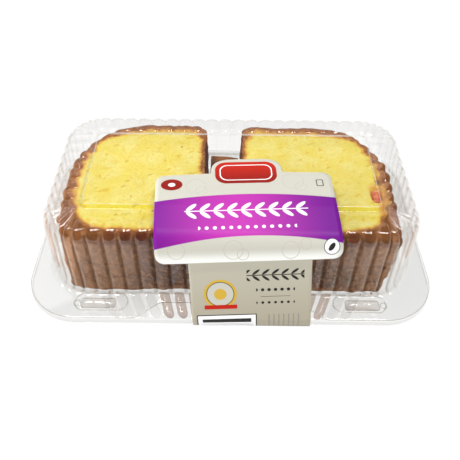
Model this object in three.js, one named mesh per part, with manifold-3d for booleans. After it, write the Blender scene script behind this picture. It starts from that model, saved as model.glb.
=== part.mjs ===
// Sliced loaf cake in a clear fluted clamshell pack that a card label holds shut.
// Two stacks of slices lie flat on a shallow base tray, with a loaf end in the gap between them,
// under a deep fluted lid. Millimetres, +Z up, origin on the table under the middle of the pack.
import * as THREE from 'three';
import { mergeVertices } from 'three/addons/utils/BufferGeometryUtils.js';
import Module from 'manifold-3d';

const wasm = await Module();
wasm.setup();

// Driving dimensions
const sheet = 0.6; // clear plastic and card
const clearance = 0.3; // between neighbouring pieces
const flutePitch = 8.6;
const longSideFlutes = 20;
const shortSideFlutes = 8;
const cornerSteps = 6; // flute spacings round one corner
const fluteDepth = 1.6;
const stepsPerFlute = 4;
const panelHeight = 53.2; // top face of the lid
const panelStep = 1.2; // how far the top panel stands above the shoulder
const panelBorder = 1.0; // run of that step in plan
const panelCorner = 2.5;
const panelInset = 0.7; // share of the sheet's thickness by which the panel is smaller inside
const fluteStart = 5.6; // from the panel's edge to the first flute arch
const archRun = 2.2; // how far a flute takes to reach most of its depth
const archRound = 1.4; // how much further out a groove begins than a crown
const archRoundLeft = 0.4; // what is left of that after this run
const archDepth = 1.3;
const shoulderRun = 15.2; // from the panel's edge to the rim's bend
const shoulderDrop = 0.8;
const rimRadius = 6.8;
const wallRun = 22.2; // from the panel's edge to the lid's wall, under the rim
const footRun = 24.3; // and at the wall's foot
const flangeTop = 5.6;
const flangeHalfLength = 117.5;
const flangeHalfDepth = 71.5;
const flangeCorner = 30;
const skirtFlare = 0.8;
const cutBackOuter = 55.5; // half length of the front cut-back, where it leaves the edge
const cutBackInner = 38; // and where it reaches its full depth
const cutBackDepth = 10.4;
const latchOffset = 75;
const latchFront = 62.3;
const latchHalfLength = 9.6;
const latchHalfDepth = 3.2;
const latchRise = 2.4;
const latchDraft = 0.7;
const latchCorner = 2;
const trayFloorHalfLength = 104;
const trayFloorHalfDepth = 52.4;
const trayCorner = 22;
const trayDraft = 0.6;
const cakeTop = 46.3;
const slicesPerStack = 4;
const sliceSpread = 0.15; // share of its thickness by which one slice may differ from the next
const slicePoints = 56; // points round one slice's crust
const crustRelief = 0.55;
const frontSpread = 0.8; // how much further forward each slice lies than the one on it
const leftLoaf = {
  foot: -15.2,
  side: -1,
  height: 81.8,
  slant: 0, // how much lower the crown is at the front than at the back
  taper: 0.05, // how much lower in the loaf's height each slice is than the one on it
  back: 48.0,
  front: -47.6,
  radii: [9, 46, 20, 8],
};
const rightLoaf = {
  foot: 5.4,
  side: 1,
  height: 89.0,
  slant: 3.6,
  taper: 0.3,
  back: 46.8,
  front: -47.6,
  radii: [7, 43, 8, 8],
};
const loafEnd = {
  left: -12.9,
  right: 3.0,
  front: -43,
  back: 45.4,
  top: 21.8,
  round: 9,
  edge: 2.4,
  footShare: 0.3, // share of that edge by which its foot is rounded
};
const fruit = { x: 83.0, y: -14, sunk: 1.2, dip: 0.1, radii: [3.2, 5.0, 3.0] };
const label = {
  middle: 6.5,
  tilt: THREE.MathUtils.degToRad(2.8),
  backEdge: -6.2,
  tabRise: 12.6,
  tabFoot: 1, // how far the tab's foot stands off the back edge, as a fillet
  tabHalfWidth: 20.5,
  tabTopShare: 0.45, // share of the tab's width that its top keeps
  tabMiddle: 2.1,
  wideHalfWidth: 49.4,
  wideLength: 58.2,
  stripHalfWidth: 32.8,
  stripMiddle: 0.6,
  corner: 5,
  columns: 5,
  fineRows: 36, // how far along the rows come close together, for the bend
  rowStep: 1.4,
  creaseRows: 12, // and how far from the foot, for the crease
  creaseStep: 2.1,
  footHeight: 0.5,
  footReach: 72.7,
  creaseReach: 0.5, // past the panel's edge
  creaseRadius: 8,
  bendReach: 51.0, // where the card's top and front would meet if its bend were sharp
  bendHeight: 50.6,
  bendRadius: 7,
  footCrease: 0.6, // above the tray's flange
  footRadius: 3,
  lead: 40, // length of the wrapping line behind the back edge
};

// Worked out from those
const cornerX = ((longSideFlutes - 1) / 2) * flutePitch;
const cornerY = ((shortSideFlutes - 1) / 2) * flutePitch;
const shoulderHeight = panelHeight - panelStep;
const rimHeight = shoulderHeight - shoulderDrop;
const flangeUnderside = flangeTop - sheet;
const trayTop = flangeUnderside - clearance;
const cakeFloor = sheet + clearance;
const frontReach = label.footReach + sheet;
const backReach = flangeHalfDepth + skirtFlare;
const centring = (frontReach - backReach) / 2;

const clearPlastic = { color: 0xeeeeec, roughness: 0.08, metalness: 0, transparent: true, opacity: 0.35 };
const crumb = { color: 0xf3e177, roughness: 0.9, metalness: 0 };
const crust = { color: 0xb4754a, roughness: 0.75, metalness: 0 };
const candiedFruit = { color: 0xd0523f, roughness: 0.35, metalness: 0 };
const card = { color: 0xe2e0d4, roughness: 0.45, metalness: 0 };

// A small seeded generator, so every build has the same unevenness
function seededRandom(seed) {
  let state = seed >>> 0;
  return () => {
    state = (state + 0x6d2b79f5) >>> 0;
    let t = Math.imul(state ^ (state >>> 15), 1 | state);
    t = (t + Math.imul(t ^ (t >>> 7), 61 | t)) ^ t;
    return ((t ^ (t >>> 14)) >>> 0) / 4294967296;
  };
}

// Collects triangles between rings of points; every ring runs anticlockwise seen from above
class Skin {
  constructor() {
    this.points = [];
  }

  triangle(a, b, c) {
    this.points.push(...a, ...b, ...c);
  }

  // Quads from one closed ring to the next, facing out where the first ring is the lower or outer one
  band(first, second) {
    first.forEach((here, i) => {
      const next = (i + 1) % first.length;
      this.triangle(here, first[next], second[next]);
      this.triangle(here, second[next], second[i]);
    });
  }

  // A face between a coarse ring and a fine one, which has a whole number of points to each coarse point
  spread(coarse, fine, facesUp) {
    const ratio = fine.length / coarse.length;
    const half = ratio / 2;
    const add = (a, b, c) => (facesUp ? this.triangle(a, b, c) : this.triangle(a, c, b));
    coarse.forEach((here, k) => {
      const next = coarse[(k + 1) % coarse.length];
      const step = (i) => fine[(k * ratio + i) % fine.length];
      for (let i = 0; i < ratio; i++) {
        add(i < half ? here : next, step(i + 1), step(i));
      }
      add(here, next, step(half));
    });
  }

  // A face that closes a ring, as a fan about its middle
  fan(ring, facesUp) {
    const middle = [0, 1, 2].map((axis) => ring.reduce((sum, point) => sum + point[axis], 0) / ring.length);
    ring.forEach((here, i) => {
      const next = ring[(i + 1) % ring.length];
      if (facesUp) this.triangle(middle, here, next);
      else this.triangle(middle, next, here);
    });
  }

  geometry() {
    const soup = new THREE.BufferGeometry();
    soup.setAttribute('position', new THREE.Float32BufferAttribute(this.points, 3));
    const merged = mergeVertices(soup, 1e-3);
    merged.computeVertexNormals();
    return merged;
  }
}

const lifted = (ring, z) => ring.map(([x, y]) => [x, y, z]);

// A rounded rectangle, anticlockwise from the start of its right-hand front corner
function roundedRectangle(halfLength, halfDepth, radius, steps, middle = [0, 0]) {
  const ring = [];
  const quarters = [[1, -1], [1, 1], [-1, 1], [-1, -1]];
  quarters.forEach(([sideX, sideY], quarter) => {
    for (let i = 0; i <= steps; i++) {
      const angle = ((quarter - 1 + i / steps) * Math.PI) / 2;
      const x = sideX * (halfLength - radius) + radius * Math.cos(angle);
      const y = sideY * (halfDepth - radius) + radius * Math.sin(angle);
      ring.push([middle[0] + x, middle[1] + y]);
    }
  });
  return ring;
}

// Stations round the lid: a point on the rectangle of corner centres, the way out, and the place
// within a flute (0 on a crown, a half in a groove)
function fluteStations() {
  const stations = [];
  const runs = [
    { from: [-cornerX, -cornerY], to: [cornerX, -cornerY], count: longSideFlutes - 1, angle: -90 },
    { from: [cornerX, -cornerY], to: [cornerX, cornerY], count: shortSideFlutes - 1, angle: 0 },
    { from: [cornerX, cornerY], to: [-cornerX, cornerY], count: longSideFlutes - 1, angle: 90 },
    { from: [-cornerX, cornerY], to: [-cornerX, -cornerY], count: shortSideFlutes - 1, angle: 180 },
  ];
  const add = (x, y, degrees, place) => {
    const angle = THREE.MathUtils.degToRad(degrees);
    stations.push({ x, y, outX: Math.cos(angle), outY: Math.sin(angle), place });
  };
  for (const { from, to, count, angle } of runs) {
    for (let i = 0; i < count * stepsPerFlute; i++) {
      const along = i / (count * stepsPerFlute);
      const x = THREE.MathUtils.lerp(from[0], to[0], along);
      const y = THREE.MathUtils.lerp(from[1], to[1], along);
      add(x, y, angle, (i % stepsPerFlute) / stepsPerFlute);
    }
    for (let i = 0; i < cornerSteps * stepsPerFlute; i++) {
      const turn = (i / (cornerSteps * stepsPerFlute)) * 90;
      add(to[0], to[1], angle + turn, (i % stepsPerFlute) / stepsPerFlute);
    }
  }
  return stations;
}

const stations = fluteStations();
const hollow = (place) => 1 - Math.abs(Math.cos(Math.PI * place));

// One ring of the fluted wall, at a profile point with its outward slope, on the outer or inner face
function fluteRing({ run, z, slope, depth, arch = 0 }, inset) {
  return stations.map(({ x, y, outX, outY, place }) => {
    const sink = depth * hollow(place) + inset;
    const out = run + arch * hollow(place) - sink * Math.sin(slope);
    return [x + outX * out, y + outY * out, z - sink * Math.cos(slope)];
  });
}

// The fluted wall's profile, from its foot on the flange to the arches on the shoulder
const quarterTurn = Math.PI / 2;
const bendRun = wallRun - rimRadius;
const bendHeight = rimHeight - rimRadius;
const archHeight = shoulderHeight - (shoulderDrop * archRun) / (shoulderRun - fluteStart);
const fluteProfile = [
  { run: wallRun, z: bendHeight, slope: quarterTurn, depth: fluteDepth },
  {
    run: bendRun + rimRadius * Math.sin(quarterTurn / 2),
    z: bendHeight + rimRadius * Math.cos(quarterTurn / 2),
    slope: quarterTurn / 2,
    depth: fluteDepth,
  },
  { run: shoulderRun, z: rimHeight, slope: 0, depth: fluteDepth },
  { run: fluteStart + archRun, z: archHeight, slope: 0, depth: archDepth, arch: archRoundLeft },
  { run: fluteStart, z: shoulderHeight, slope: 0, depth: 0, arch: archRound },
];

// A smooth rounded rectangle that keeps pace with the flutes, a few points to each
function pacedRing(halfLength, halfDepth, radius, pointsPerFlute, z) {
  const every = stepsPerFlute / pointsPerFlute;
  const scaleX = (halfLength - radius) / cornerX;
  const scaleY = (halfDepth - radius) / cornerY;
  return stations
    .filter((_, i) => i % every === 0)
    .map(({ x, y, outX, outY }) => [x * scaleX + outX * radius, y * scaleY + outY * radius, z]);
}

// The lid flange's outline: a rounded rectangle, cut back along the front where the label passes
function flangeOutline(z) {
  return pacedRing(flangeHalfLength, flangeHalfDepth, flangeCorner, 2, z).map(([x, y]) => {
    const onFront = y < -flangeHalfDepth + 1e-6;
    if (!onFront) return [x, y, z];
    const share = THREE.MathUtils.smoothstep(cutBackOuter - Math.abs(x), 0, cutBackOuter - cutBackInner);
    return [x, y + cutBackDepth * share, z];
  });
}

// One face of the lid's sheet: the outer one, or with an inset the inner one
function lidFace(skin, inset) {
  const outer = inset === 0;
  const flangeZ = flangeTop - inset;
  const join = (lower, upper) => (outer ? skin.band(lower, upper) : skin.band(upper, lower));

  const foot = { run: footRun, z: flangeZ, slope: quarterTurn, depth: fluteDepth };
  const rings = [foot, ...fluteProfile].map((level) => fluteRing(level, inset));
  rings.slice(1).forEach((ring, i) => join(rings[i], ring));
  skin.spread(flangeOutline(flangeZ), rings[0], outer);

  const narrow = inset * panelInset;
  const panelRing = (grow, z) =>
    pacedRing(cornerX + grow - narrow, cornerY + grow - narrow, panelCorner + grow, 1, z - inset);
  const panelFoot = panelRing(panelBorder, shoulderHeight);
  const panelEdge = panelRing(0, panelHeight);
  skin.spread(panelFoot, rings.at(-1), !outer);
  join(panelFoot, panelEdge);
  skin.fan(panelEdge, outer);
}

// A latch button on the front flange, standing a little way into it
function latchGeometry(side) {
  const skin = new Skin();
  const ring = (shrink, z) => {
    const middle = [side * latchOffset, -latchFront];
    const sizes = [latchHalfLength, latchHalfDepth, latchCorner].map((size) => size - shrink);
    return lifted(roundedRectangle(...sizes, 3, middle), z);
  };
  const low = ring(0, flangeTop - sheet / 2);
  const high = ring(latchDraft, flangeTop + latchRise);
  skin.band(low, high);
  skin.fan(high, true);
  skin.fan(low, false);
  return skin.geometry();
}

function lidGeometry() {
  const skin = new Skin();
  lidFace(skin, 0);
  lidFace(skin, sheet);
  skin.band(flangeOutline(flangeUnderside), flangeOutline(flangeTop));
  const latches = [-1, 1].map((side) => toManifold(latchGeometry(side)));
  return fromManifold(latches.reduce((solid, latch) => solid.add(latch), toManifold(skin.geometry())));
}

// The base: a floor, a riser to a broad flange under the lid's, and a skirt down to the table
function trayGeometry() {
  const skin = new Skin();
  const cornerPoints = 8;
  const grown = (sizes, grow, z) => {
    const [halfLength, halfDepth, radius] = sizes.map((size) => size + grow);
    return lifted(roundedRectangle(halfLength, halfDepth, radius, cornerPoints), z);
  };
  const ring = (grow, z) => grown([trayFloorHalfLength, trayFloorHalfDepth, trayCorner], grow, z);
  const edge = (grow, z) => grown([flangeHalfLength, flangeHalfDepth, flangeCorner], grow, z);
  const upper = [edge(skirtFlare, 0), edge(0, trayTop), ring(trayDraft, trayTop), ring(0, sheet)];
  const lower = [
    edge(skirtFlare - sheet, 0),
    edge(-sheet, trayTop - sheet),
    ring(trayDraft + sheet, trayTop - sheet),
    ring(sheet, 0),
  ];
  for (let i = 0; i < upper.length - 1; i++) {
    skin.band(upper[i], upper[i + 1]);
    skin.band(lower[i + 1], lower[i]);
  }
  skin.band(lower[0], upper[0]);
  skin.fan(upper.at(-1), true);
  skin.fan(lower.at(-1), false);
  return skin.geometry();
}

// A loaf's section seen from above: a flat foot, straight sides and a rounded crown
function loafSection({ foot, side, height, slant, back, front, radii }, pointCount) {
  const [footBack, crownBack, crownFront, footFront] = radii;
  const shape = new THREE.Shape();
  shape.moveTo(0, 0);
  shape.lineTo(0, back - footBack);
  shape.quadraticCurveTo(0, back, footBack, back);
  shape.lineTo(height - crownBack, back);
  shape.absarc(height - crownBack, back - crownBack, crownBack, quarterTurn, 0, true);
  shape.lineTo(height - slant, front + crownFront);
  shape.absarc(height - slant - crownFront, front + crownFront, crownFront, 0, -quarterTurn, true);
  shape.lineTo(footFront, front);
  shape.quadraticCurveTo(0, front, 0, front + footFront);
  shape.closePath();
  const points = shape.getSpacedPoints(pointCount).slice(0, pointCount);
  const placed = points.map((p) => new THREE.Vector2(foot + side * p.x, p.y));
  return THREE.ShapeUtils.isClockWise(placed) ? placed.reverse() : placed;
}

// Pushes a section's points in and out by a few slow waves, as crust is uneven
function uneven(section, random) {
  const waves = [3, 5, 9, 14].map((count) => ({ count, phase: random() * Math.PI * 2 }));
  return section.map((point, i) => {
    const before = section.at(i - 1);
    const after = section[(i + 1) % section.length];
    const out = new THREE.Vector2(after.y - before.y, before.x - after.x).normalize();
    const turn = (i / section.length) * Math.PI * 2;
    const push = waves.reduce((sum, { count, phase }) => sum + Math.sin(count * turn + phase), 0);
    return [point.x + (out.x * push * crustRelief) / 2, point.y + (out.y * push * crustRelief) / 2];
  });
}

// One slice: cut faces above and below, and crust all round that drifts a little between the cuts
function sliceGeometry(loaf, bottom, top, seed) {
  const random = seededRandom(seed);
  const skin = new Skin();
  const section = uneven(loafSection(loaf, slicePoints), random);
  const drift = () => (random() - 0.5) * crustRelief;
  const low = section.map(([x, y]) => [x + drift(), y + drift(), bottom]);
  const high = lifted(section, top);
  skin.band(low, high);
  skin.fan(high, true);
  skin.fan(low, false);
  return skin.geometry();
}

// Heights of the cuts through one stack, uneven but seeded
function stackLevels(seed) {
  const random = seededRandom(seed);
  const parts = Array.from({ length: slicesPerStack }, () => 1 + (random() - 0.5) * sliceSpread);
  const whole = parts.reduce((sum, part) => sum + part, 0);
  const room = cakeTop - cakeFloor - clearance * (slicesPerStack - 1);
  let bottom = cakeFloor;
  return parts.map((part) => {
    const level = { bottom, top: bottom + (room * part) / whole };
    bottom = level.top + clearance;
    return level;
  });
}

// The loaf's end, standing on edge in the gap between the stacks
function loafEndGeometry() {
  const { left, right, front, back, top, round, edge, footShare } = loafEnd;
  const skin = new Skin();
  const ring = (inset, x) => {
    const shape = new THREE.Shape();
    const floor = cakeFloor + inset * footShare;
    const reach = round - inset;
    shape.moveTo(front + inset, floor);
    shape.lineTo(back - inset, floor);
    shape.lineTo(back - inset, top - round);
    shape.absarc(back - round, top - round, reach, 0, quarterTurn, false);
    shape.lineTo(front + round, top - inset);
    shape.absarc(front + round, top - round, reach, quarterTurn, Math.PI, false);
    shape.closePath();
    const endPoints = 40;
    return shape.getSpacedPoints(endPoints).slice(0, endPoints).map((p) => [x, p.x, p.y]);
  };
  const rings = [ring(edge, left), ring(0, left + edge), ring(0, right - edge), ring(edge, right)];
  rings.slice(1).forEach((next, i) => skin.band(rings[i], next));
  skin.fan(rings[0], false);
  skin.fan(rings.at(-1), true);
  return skin.geometry();
}

// The line the label follows over the lid's front, as seen from the side
function labelPath() {
  const corners = [
    [label.backEdge + label.lead, panelHeight + clearance, 0],
    [-cornerY - label.creaseReach, panelHeight + clearance, label.creaseRadius],
    [-label.bendReach, label.bendHeight, label.bendRadius],
    [-label.footReach, trayTop + label.footCrease, label.footRadius],
    [-label.footReach, 0, 0],
  ].map(([y, z, radius]) => ({ point: new THREE.Vector2(y, z), radius }));
  const path = new THREE.Path();
  path.moveTo(corners[0].point.x, corners[0].point.y);
  corners.slice(1).forEach(({ point, radius }, i) => {
    const after = corners[i + 2];
    if (!after) {
      path.lineTo(point.x, point.y);
      return;
    }
    const back = corners[i].point.clone().sub(point).normalize();
    const on = after.point.clone().sub(point).normalize();
    const reach = radius / Math.tan(back.angleTo(on) / 2);
    const start = point.clone().addScaledVector(back, reach);
    const end = point.clone().addScaledVector(on, reach);
    path.lineTo(start.x, start.y);
    path.quadraticCurveTo(point.x, point.y, end.x, end.y);
  });
  return path;
}

const wrap = labelPath();
const wrapLength = wrap.getLength();

// A point of the flat label, set square to the tilted card, laid onto the wrap and lifted off it
function labelPoint(across, along, lift) {
  const x = label.middle + across * Math.cos(label.tilt) + along * Math.sin(label.tilt);
  const s = label.lead + along * Math.cos(label.tilt) - across * Math.sin(label.tilt);
  const share = s / wrapLength;
  const place = wrap.getPoint(share);
  const next = wrap.getPoint(Math.min(share + 1e-4, 1));
  const way = next.sub(wrap.getPoint(Math.max(share - 1e-4, 0))).normalize();
  const out = new THREE.Vector2(way.y, -way.x);
  const point = place.clone().addScaledVector(out, lift);
  return [x, point.x, point.y];
}

// Half width and middle of the flat label at each distance from its back edge
function labelRows(footAlong) {
  const { tabRise, tabFoot, tabHalfWidth, tabTopShare, tabMiddle } = label;
  const { wideHalfWidth, wideLength, stripHalfWidth, stripMiddle, corner } = label;
  const { fineRows, rowStep, creaseRows, creaseStep } = label;
  const rows = [];
  const tabSteps = 5;
  for (let i = 0; i <= tabSteps; i++) {
    const up = Math.cos((quarterTurn * i) / tabSteps);
    const half = tabHalfWidth * (tabTopShare + (1 - tabTopShare) * Math.sqrt(1 - up ** 3));
    rows.push({ along: -tabFoot - (tabRise - tabFoot) * up, half, middle: tabMiddle });
  }
  const wide = (along, inset = 0) => rows.push({ along, half: wideHalfWidth - inset, middle: 0 });
  const strip = (along) => rows.push({ along, half: stripHalfWidth, middle: stripMiddle });
  const cornerInset = (past) => corner * (1 - Math.sqrt(1 - (1 - past) ** 2));
  const cornerParts = [0, 0.3, 1];
  cornerParts.forEach((past) => wide(corner * past, cornerInset(past)));
  for (let along = fineRows / 3; along < fineRows; along += fineRows / 6) wide(along);
  for (let along = fineRows; along < wideLength - corner; along += rowStep) wide(along);
  cornerParts.toReversed().forEach((past) => wide(wideLength - corner * past, cornerInset(past)));
  const stripStart = wideLength + tabFoot;
  const creaseStart = footAlong - creaseRows;
  const longSteps = 3;
  for (let i = 0; i < longSteps; i++) strip(THREE.MathUtils.lerp(stripStart, creaseStart, i / longSteps));
  for (let along = creaseStart; along < footAlong - creaseStep / 2; along += creaseStep) strip(along);
  return rows;
}

function labelGeometry() {
  const skin = new Skin();
  const footAlong = (wrapLength - label.lead - label.footHeight) / Math.cos(label.tilt);
  const slant = Math.tan(label.tilt);
  const rows = labelRows(footAlong + (label.stripMiddle - label.stripHalfWidth) * slant);
  const sides = Array.from({ length: label.columns + 1 }, (_, i) => (2 * i) / label.columns - 1);
  const face = (lift) => {
    const row = ({ along, half, middle }) =>
      sides.map((side) => labelPoint(middle + half * side, along, lift));
    const foot = sides.map((side) => {
      const across = label.stripMiddle + label.stripHalfWidth * side;
      return labelPoint(across, footAlong + across * slant, lift);
    });
    return [...rows.map(row), foot];
  };
  const under = face(0);
  const over = face(sheet);
  const quad = (a, b, c, d) => {
    skin.triangle(a, b, c);
    skin.triangle(a, c, d);
  };
  const lastRow = rows.length;
  for (let r = 0; r < lastRow; r++) {
    for (let i = 0; i < label.columns; i++) {
      quad(over[r][i], over[r + 1][i], over[r + 1][i + 1], over[r][i + 1]);
      quad(under[r][i], under[r][i + 1], under[r + 1][i + 1], under[r + 1][i]);
    }
    const end = label.columns;
    quad(under[r][0], under[r + 1][0], over[r + 1][0], over[r][0]);
    quad(under[r][end], over[r][end], over[r + 1][end], under[r + 1][end]);
  }
  for (let i = 0; i < label.columns; i++) {
    quad(under[0][i], over[0][i], over[0][i + 1], under[0][i + 1]);
    quad(under[lastRow][i], under[lastRow][i + 1], over[lastRow][i + 1], over[lastRow][i]);
  }
  return skin.geometry();
}

function toManifold(geometry) {
  const plain = geometry.clone();
  plain.deleteAttribute('normal');
  plain.deleteAttribute('uv');
  const merged = mergeVertices(plain, 1e-4);
  return new wasm.Manifold(
    new wasm.Mesh({
      numProp: 3,
      vertProperties: new Float32Array(merged.attributes.position.array),
      triVerts: new Uint32Array(merged.index.array),
    }),
  );
}

function fromManifold(solid) {
  const mesh = solid.getMesh();
  const geometry = new THREE.BufferGeometry();
  geometry.setAttribute('position', new THREE.BufferAttribute(mesh.vertProperties, 3));
  geometry.setIndex(new THREE.BufferAttribute(mesh.triVerts, 1));
  geometry.computeVertexNormals();
  return geometry;
}

// The candied fruit, or with a margin the hollow it leaves in its slice
function fruitBody(margin) {
  const [rx, ry, rz] = fruit.radii.map((radius) => radius + margin);
  const body = new THREE.SphereGeometry(1, 14, 9);
  body.scale(rx, ry, rz);
  body.translate(fruit.x, fruit.y, cakeTop - fruit.sunk);
  return toManifold(body);
}

function fruitGeometry() {
  const reach = 40;
  const below = new THREE.BoxGeometry(reach, reach, reach);
  below.translate(fruit.x, fruit.y, cakeTop - fruit.dip - reach / 2);
  return fromManifold(fruitBody(0).intersect(toManifold(below)));
}

const pack = new THREE.Group();
pack.position.y = centring;

function addPiece(name, geometry, finish) {
  const piece = new THREE.Mesh(geometry, new THREE.MeshStandardMaterial(finish));
  piece.name = name;
  pack.add(piece);
}

addPiece('base_tray', trayGeometry(), clearPlastic);
for (const [name, loaf, seed] of [['left', leftLoaf, 11], ['right', rightLoaf, 47]]) {
  stackLevels(seed).forEach(({ bottom, top }, i) => {
    const below = slicesPerStack - 1 - i;
    const section = {
      ...loaf,
      height: loaf.height - loaf.taper * below,
      front: loaf.front - frontSpread * below,
    };
    let geometry = sliceGeometry(section, bottom, top, seed + i + 1);
    const holdsFruit = name === 'right' && below === 0;
    if (holdsFruit) geometry = fromManifold(toManifold(geometry).subtract(fruitBody(clearance)));
    addPiece(`slice_${name}_${i + 1}`, geometry, crumb);
  });
}
addPiece('candied_fruit', fruitGeometry(), candiedFruit);
addPiece('loaf_end', loafEndGeometry(), crust);
addPiece('lid', lidGeometry(), clearPlastic);
addPiece('label', labelGeometry(), card);

export default pack;
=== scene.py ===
# Sliced fruitcake in a clear fluted clamshell pack with a printed card label.
# Sizes are in millimetres in the pack's own frame, and turn to metres as meshes are made.
import math
from types import SimpleNamespace as Sizes

import bpy
import numpy as np
from mathutils import Matrix, Vector, noise
from mathutils.kdtree import KDTree


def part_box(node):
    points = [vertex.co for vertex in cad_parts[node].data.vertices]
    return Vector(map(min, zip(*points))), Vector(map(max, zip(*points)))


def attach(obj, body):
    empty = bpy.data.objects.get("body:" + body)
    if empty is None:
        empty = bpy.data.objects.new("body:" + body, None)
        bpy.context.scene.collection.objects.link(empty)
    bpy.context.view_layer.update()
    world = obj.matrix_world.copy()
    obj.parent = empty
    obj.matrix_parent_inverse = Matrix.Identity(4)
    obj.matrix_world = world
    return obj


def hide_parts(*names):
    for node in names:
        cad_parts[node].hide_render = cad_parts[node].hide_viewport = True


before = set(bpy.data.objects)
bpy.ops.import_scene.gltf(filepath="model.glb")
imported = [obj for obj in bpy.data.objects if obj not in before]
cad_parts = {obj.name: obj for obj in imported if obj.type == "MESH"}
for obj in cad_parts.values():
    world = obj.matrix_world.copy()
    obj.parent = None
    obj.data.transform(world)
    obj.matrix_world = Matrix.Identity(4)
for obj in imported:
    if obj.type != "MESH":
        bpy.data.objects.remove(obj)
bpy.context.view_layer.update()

MM = 0.001
QUARTER = math.pi / 2


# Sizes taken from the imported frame
def box_mm(node):
    low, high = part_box(node)
    return np.array(low) / MM, np.array(high) / MM


lid_low, lid_high = box_mm("lid")
MIDDLE_Y = (lid_low[1] + lid_high[1]) / 2
PANEL_TOP = lid_high[2]
FLANGE_HALF = (lid_high - lid_low)[:2] / 2
TRAY_TOP = box_mm("base_tray")[1][2]

# Driving sizes of the clear pack
SHEET = 0.5
FLUTE_PITCH = 8.6
LONG_FLUTES = 19
SHORT_FLUTES = 7
CORNER_FLUTES = 6
POINTS_PER_FLUTE = 12
CORNER_X = LONG_FLUTES / 2 * FLUTE_PITCH
CORNER_Y = SHORT_FLUTES / 2 * FLUTE_PITCH
FLANGE_TOP = 5.6
FLANGE_CORNER = 30
FLANGE_DROOP = 0.6
CUT_BACK = Sizes(outer=55.5, inner=38.0, depth=10.4)
CUT_EDGE = Sizes(thin=0.08, more=0.2, start=10, full=45)
FOOT_RUN = 24.3
FOOT_FILLET = 3.0
WALL_RUN = 22.2
RIM_RADIUS = 6.8
RIM_DROP = 1.5
SHOULDER_RUN = 15.2
SHOULDER_DEPTH = 1.0
FINGER_START = Sizes(front=9.8, elsewhere=4.2)
FINGER_SHARE = Sizes(front=0.44, elsewhere=0.5)
FINGER_TIP = 2.2
FINGER_PAST_TIP = 0.8
FINGER_ROUND = 0.62
FINGER_DEPTH = 2.2
SHALLOW_SHARE = 0.85
TIP_DEPTH = 0.95
PANEL_CORNER = 2.5
PANEL_LEAST_CORNER = 0.5
PANEL_RINGS = (0.4, 12.0)
PANEL_LINE = Sizes(radius=0.13, sink=0.02)
PANEL_STEP = Sizes(rise=0.45, run=2.3, bend=0.11, near=0.013, far=0.075, narrow=0.7)
LID_STEPS = Sizes(foot=6, wall=7, rim=10, shoulder=21)
# Shares of the way from the flange's edge to the foot of the wall
FLANGE_RINGS = (0, 0.02, 0.35, 0.7, 0.93)
# How far a place faces the front when it begins to look like it, and when it fully does
FRONT_TURN = (0.5, 0.95)
# Share of a corner's turn over which the straight front fades out
CORNER_FADE = 0.3
# How low between two fingers the groove's shade begins and is full
GROOVE_EDGE = (0.35, 0.9)


# Meshes
def make_object(name, points, faces, material):
    mesh = bpy.data.meshes.new(name)
    mesh.from_pydata((np.asarray(points) * MM).tolist(), [], faces)
    mesh.validate()
    mesh.materials.append(material)
    mesh.shade_smooth()
    made = bpy.data.objects.new(name, mesh)
    bpy.context.scene.collection.objects.link(made)
    return made


def add_piece(name, points, faces, material, slot="clear_plastic", replaced=()):
    piece = make_object(name, points, faces, material)
    if replaced:
        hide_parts(*replaced)
    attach(piece, "root")
    return piece


def give_values(piece, key, values):
    attribute = piece.data.attributes.new(key, "FLOAT", "POINT")
    attribute.data.foreach_set("value", np.concatenate(values).astype(np.float32))


def loft(rings):
    """Points and quads of a loft through closed rings of equal count."""
    count = len(rings[0])
    faces = []
    for first in range(0, count * (len(rings) - 1), count):
        second = first + count
        for i in range(count):
            after = (i + 1) % count
            faces.append((first + i, first + after, second + after, second + i))
    return np.concatenate(rings), faces


def closed_loft(rings):
    """A loft with a flat cap on its first and last ring."""
    points, faces = loft(rings)
    count = len(rings[0])
    faces.append(tuple(range(count))[::-1])
    faces.append(tuple(range(len(points) - count, len(points))))
    return points, faces


def tube(path, radius, sides=8):
    """A closed tube along a level ring of points."""
    ahead = np.roll(path, -1, axis=0) - np.roll(path, 1, axis=0)
    ahead /= np.linalg.norm(ahead, axis=1)[:, None]
    side = np.column_stack([ahead[:, 1], -ahead[:, 0], np.zeros(len(path))])
    radius = np.broadcast_to(radius, len(path))[:, None]
    rings = []
    for i in range(sides):
        angle = 2 * math.pi * i / sides
        rings.append(path + radius * (math.cos(angle) * side + math.sin(angle) * np.array([0, 0, 1])))
    points, faces = loft(rings + rings[:1])
    total = sides * len(path)
    return points[:total], [tuple(index % total for index in face) for face in faces]


def rounded_rectangle(half_length, half_depth, radius, steps, middle=(0, 0)):
    ring = []
    for quarter, (side_x, side_y) in enumerate([(1, -1), (1, 1), (-1, 1), (-1, -1)]):
        for i in range(steps + 1):
            angle = (quarter - 1 + i / steps) * QUARTER
            x = side_x * (half_length - radius) + radius * math.cos(angle)
            y = side_y * (half_depth - radius) + radius * math.sin(angle)
            ring.append((middle[0] + x, middle[1] + y))
    return np.array(ring)


def ball_rings(rows, columns):
    """Level rings of a unit ball from low to high, without its poles."""
    around = np.linspace(0, 2 * math.pi, columns, endpoint=False)
    circle = np.column_stack([np.cos(around), np.sin(around)])
    polars = math.pi * np.arange(1, rows) / rows
    return [with_z(math.sin(polar) * circle, -math.cos(polar)) for polar in polars]


def with_z(ring, z):
    return np.column_stack([ring, np.broadcast_to(z, len(ring))])


def from_to(start, end, share):
    return start + (end - start) * share


def smoothstep(value, low, high):
    share = np.clip((np.asarray(value, float) - low) / (high - low), 0, 1)
    return share * share * (3 - 2 * share)


def noise_at(points, scale, seed):
    """Smooth noise from -1 to 1 at each point."""
    shift = Vector((seed * 17.3, seed * 5.1, seed * 9.7))
    return np.array([noise.noise(Vector(p) * scale + shift) for p in points])


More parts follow.
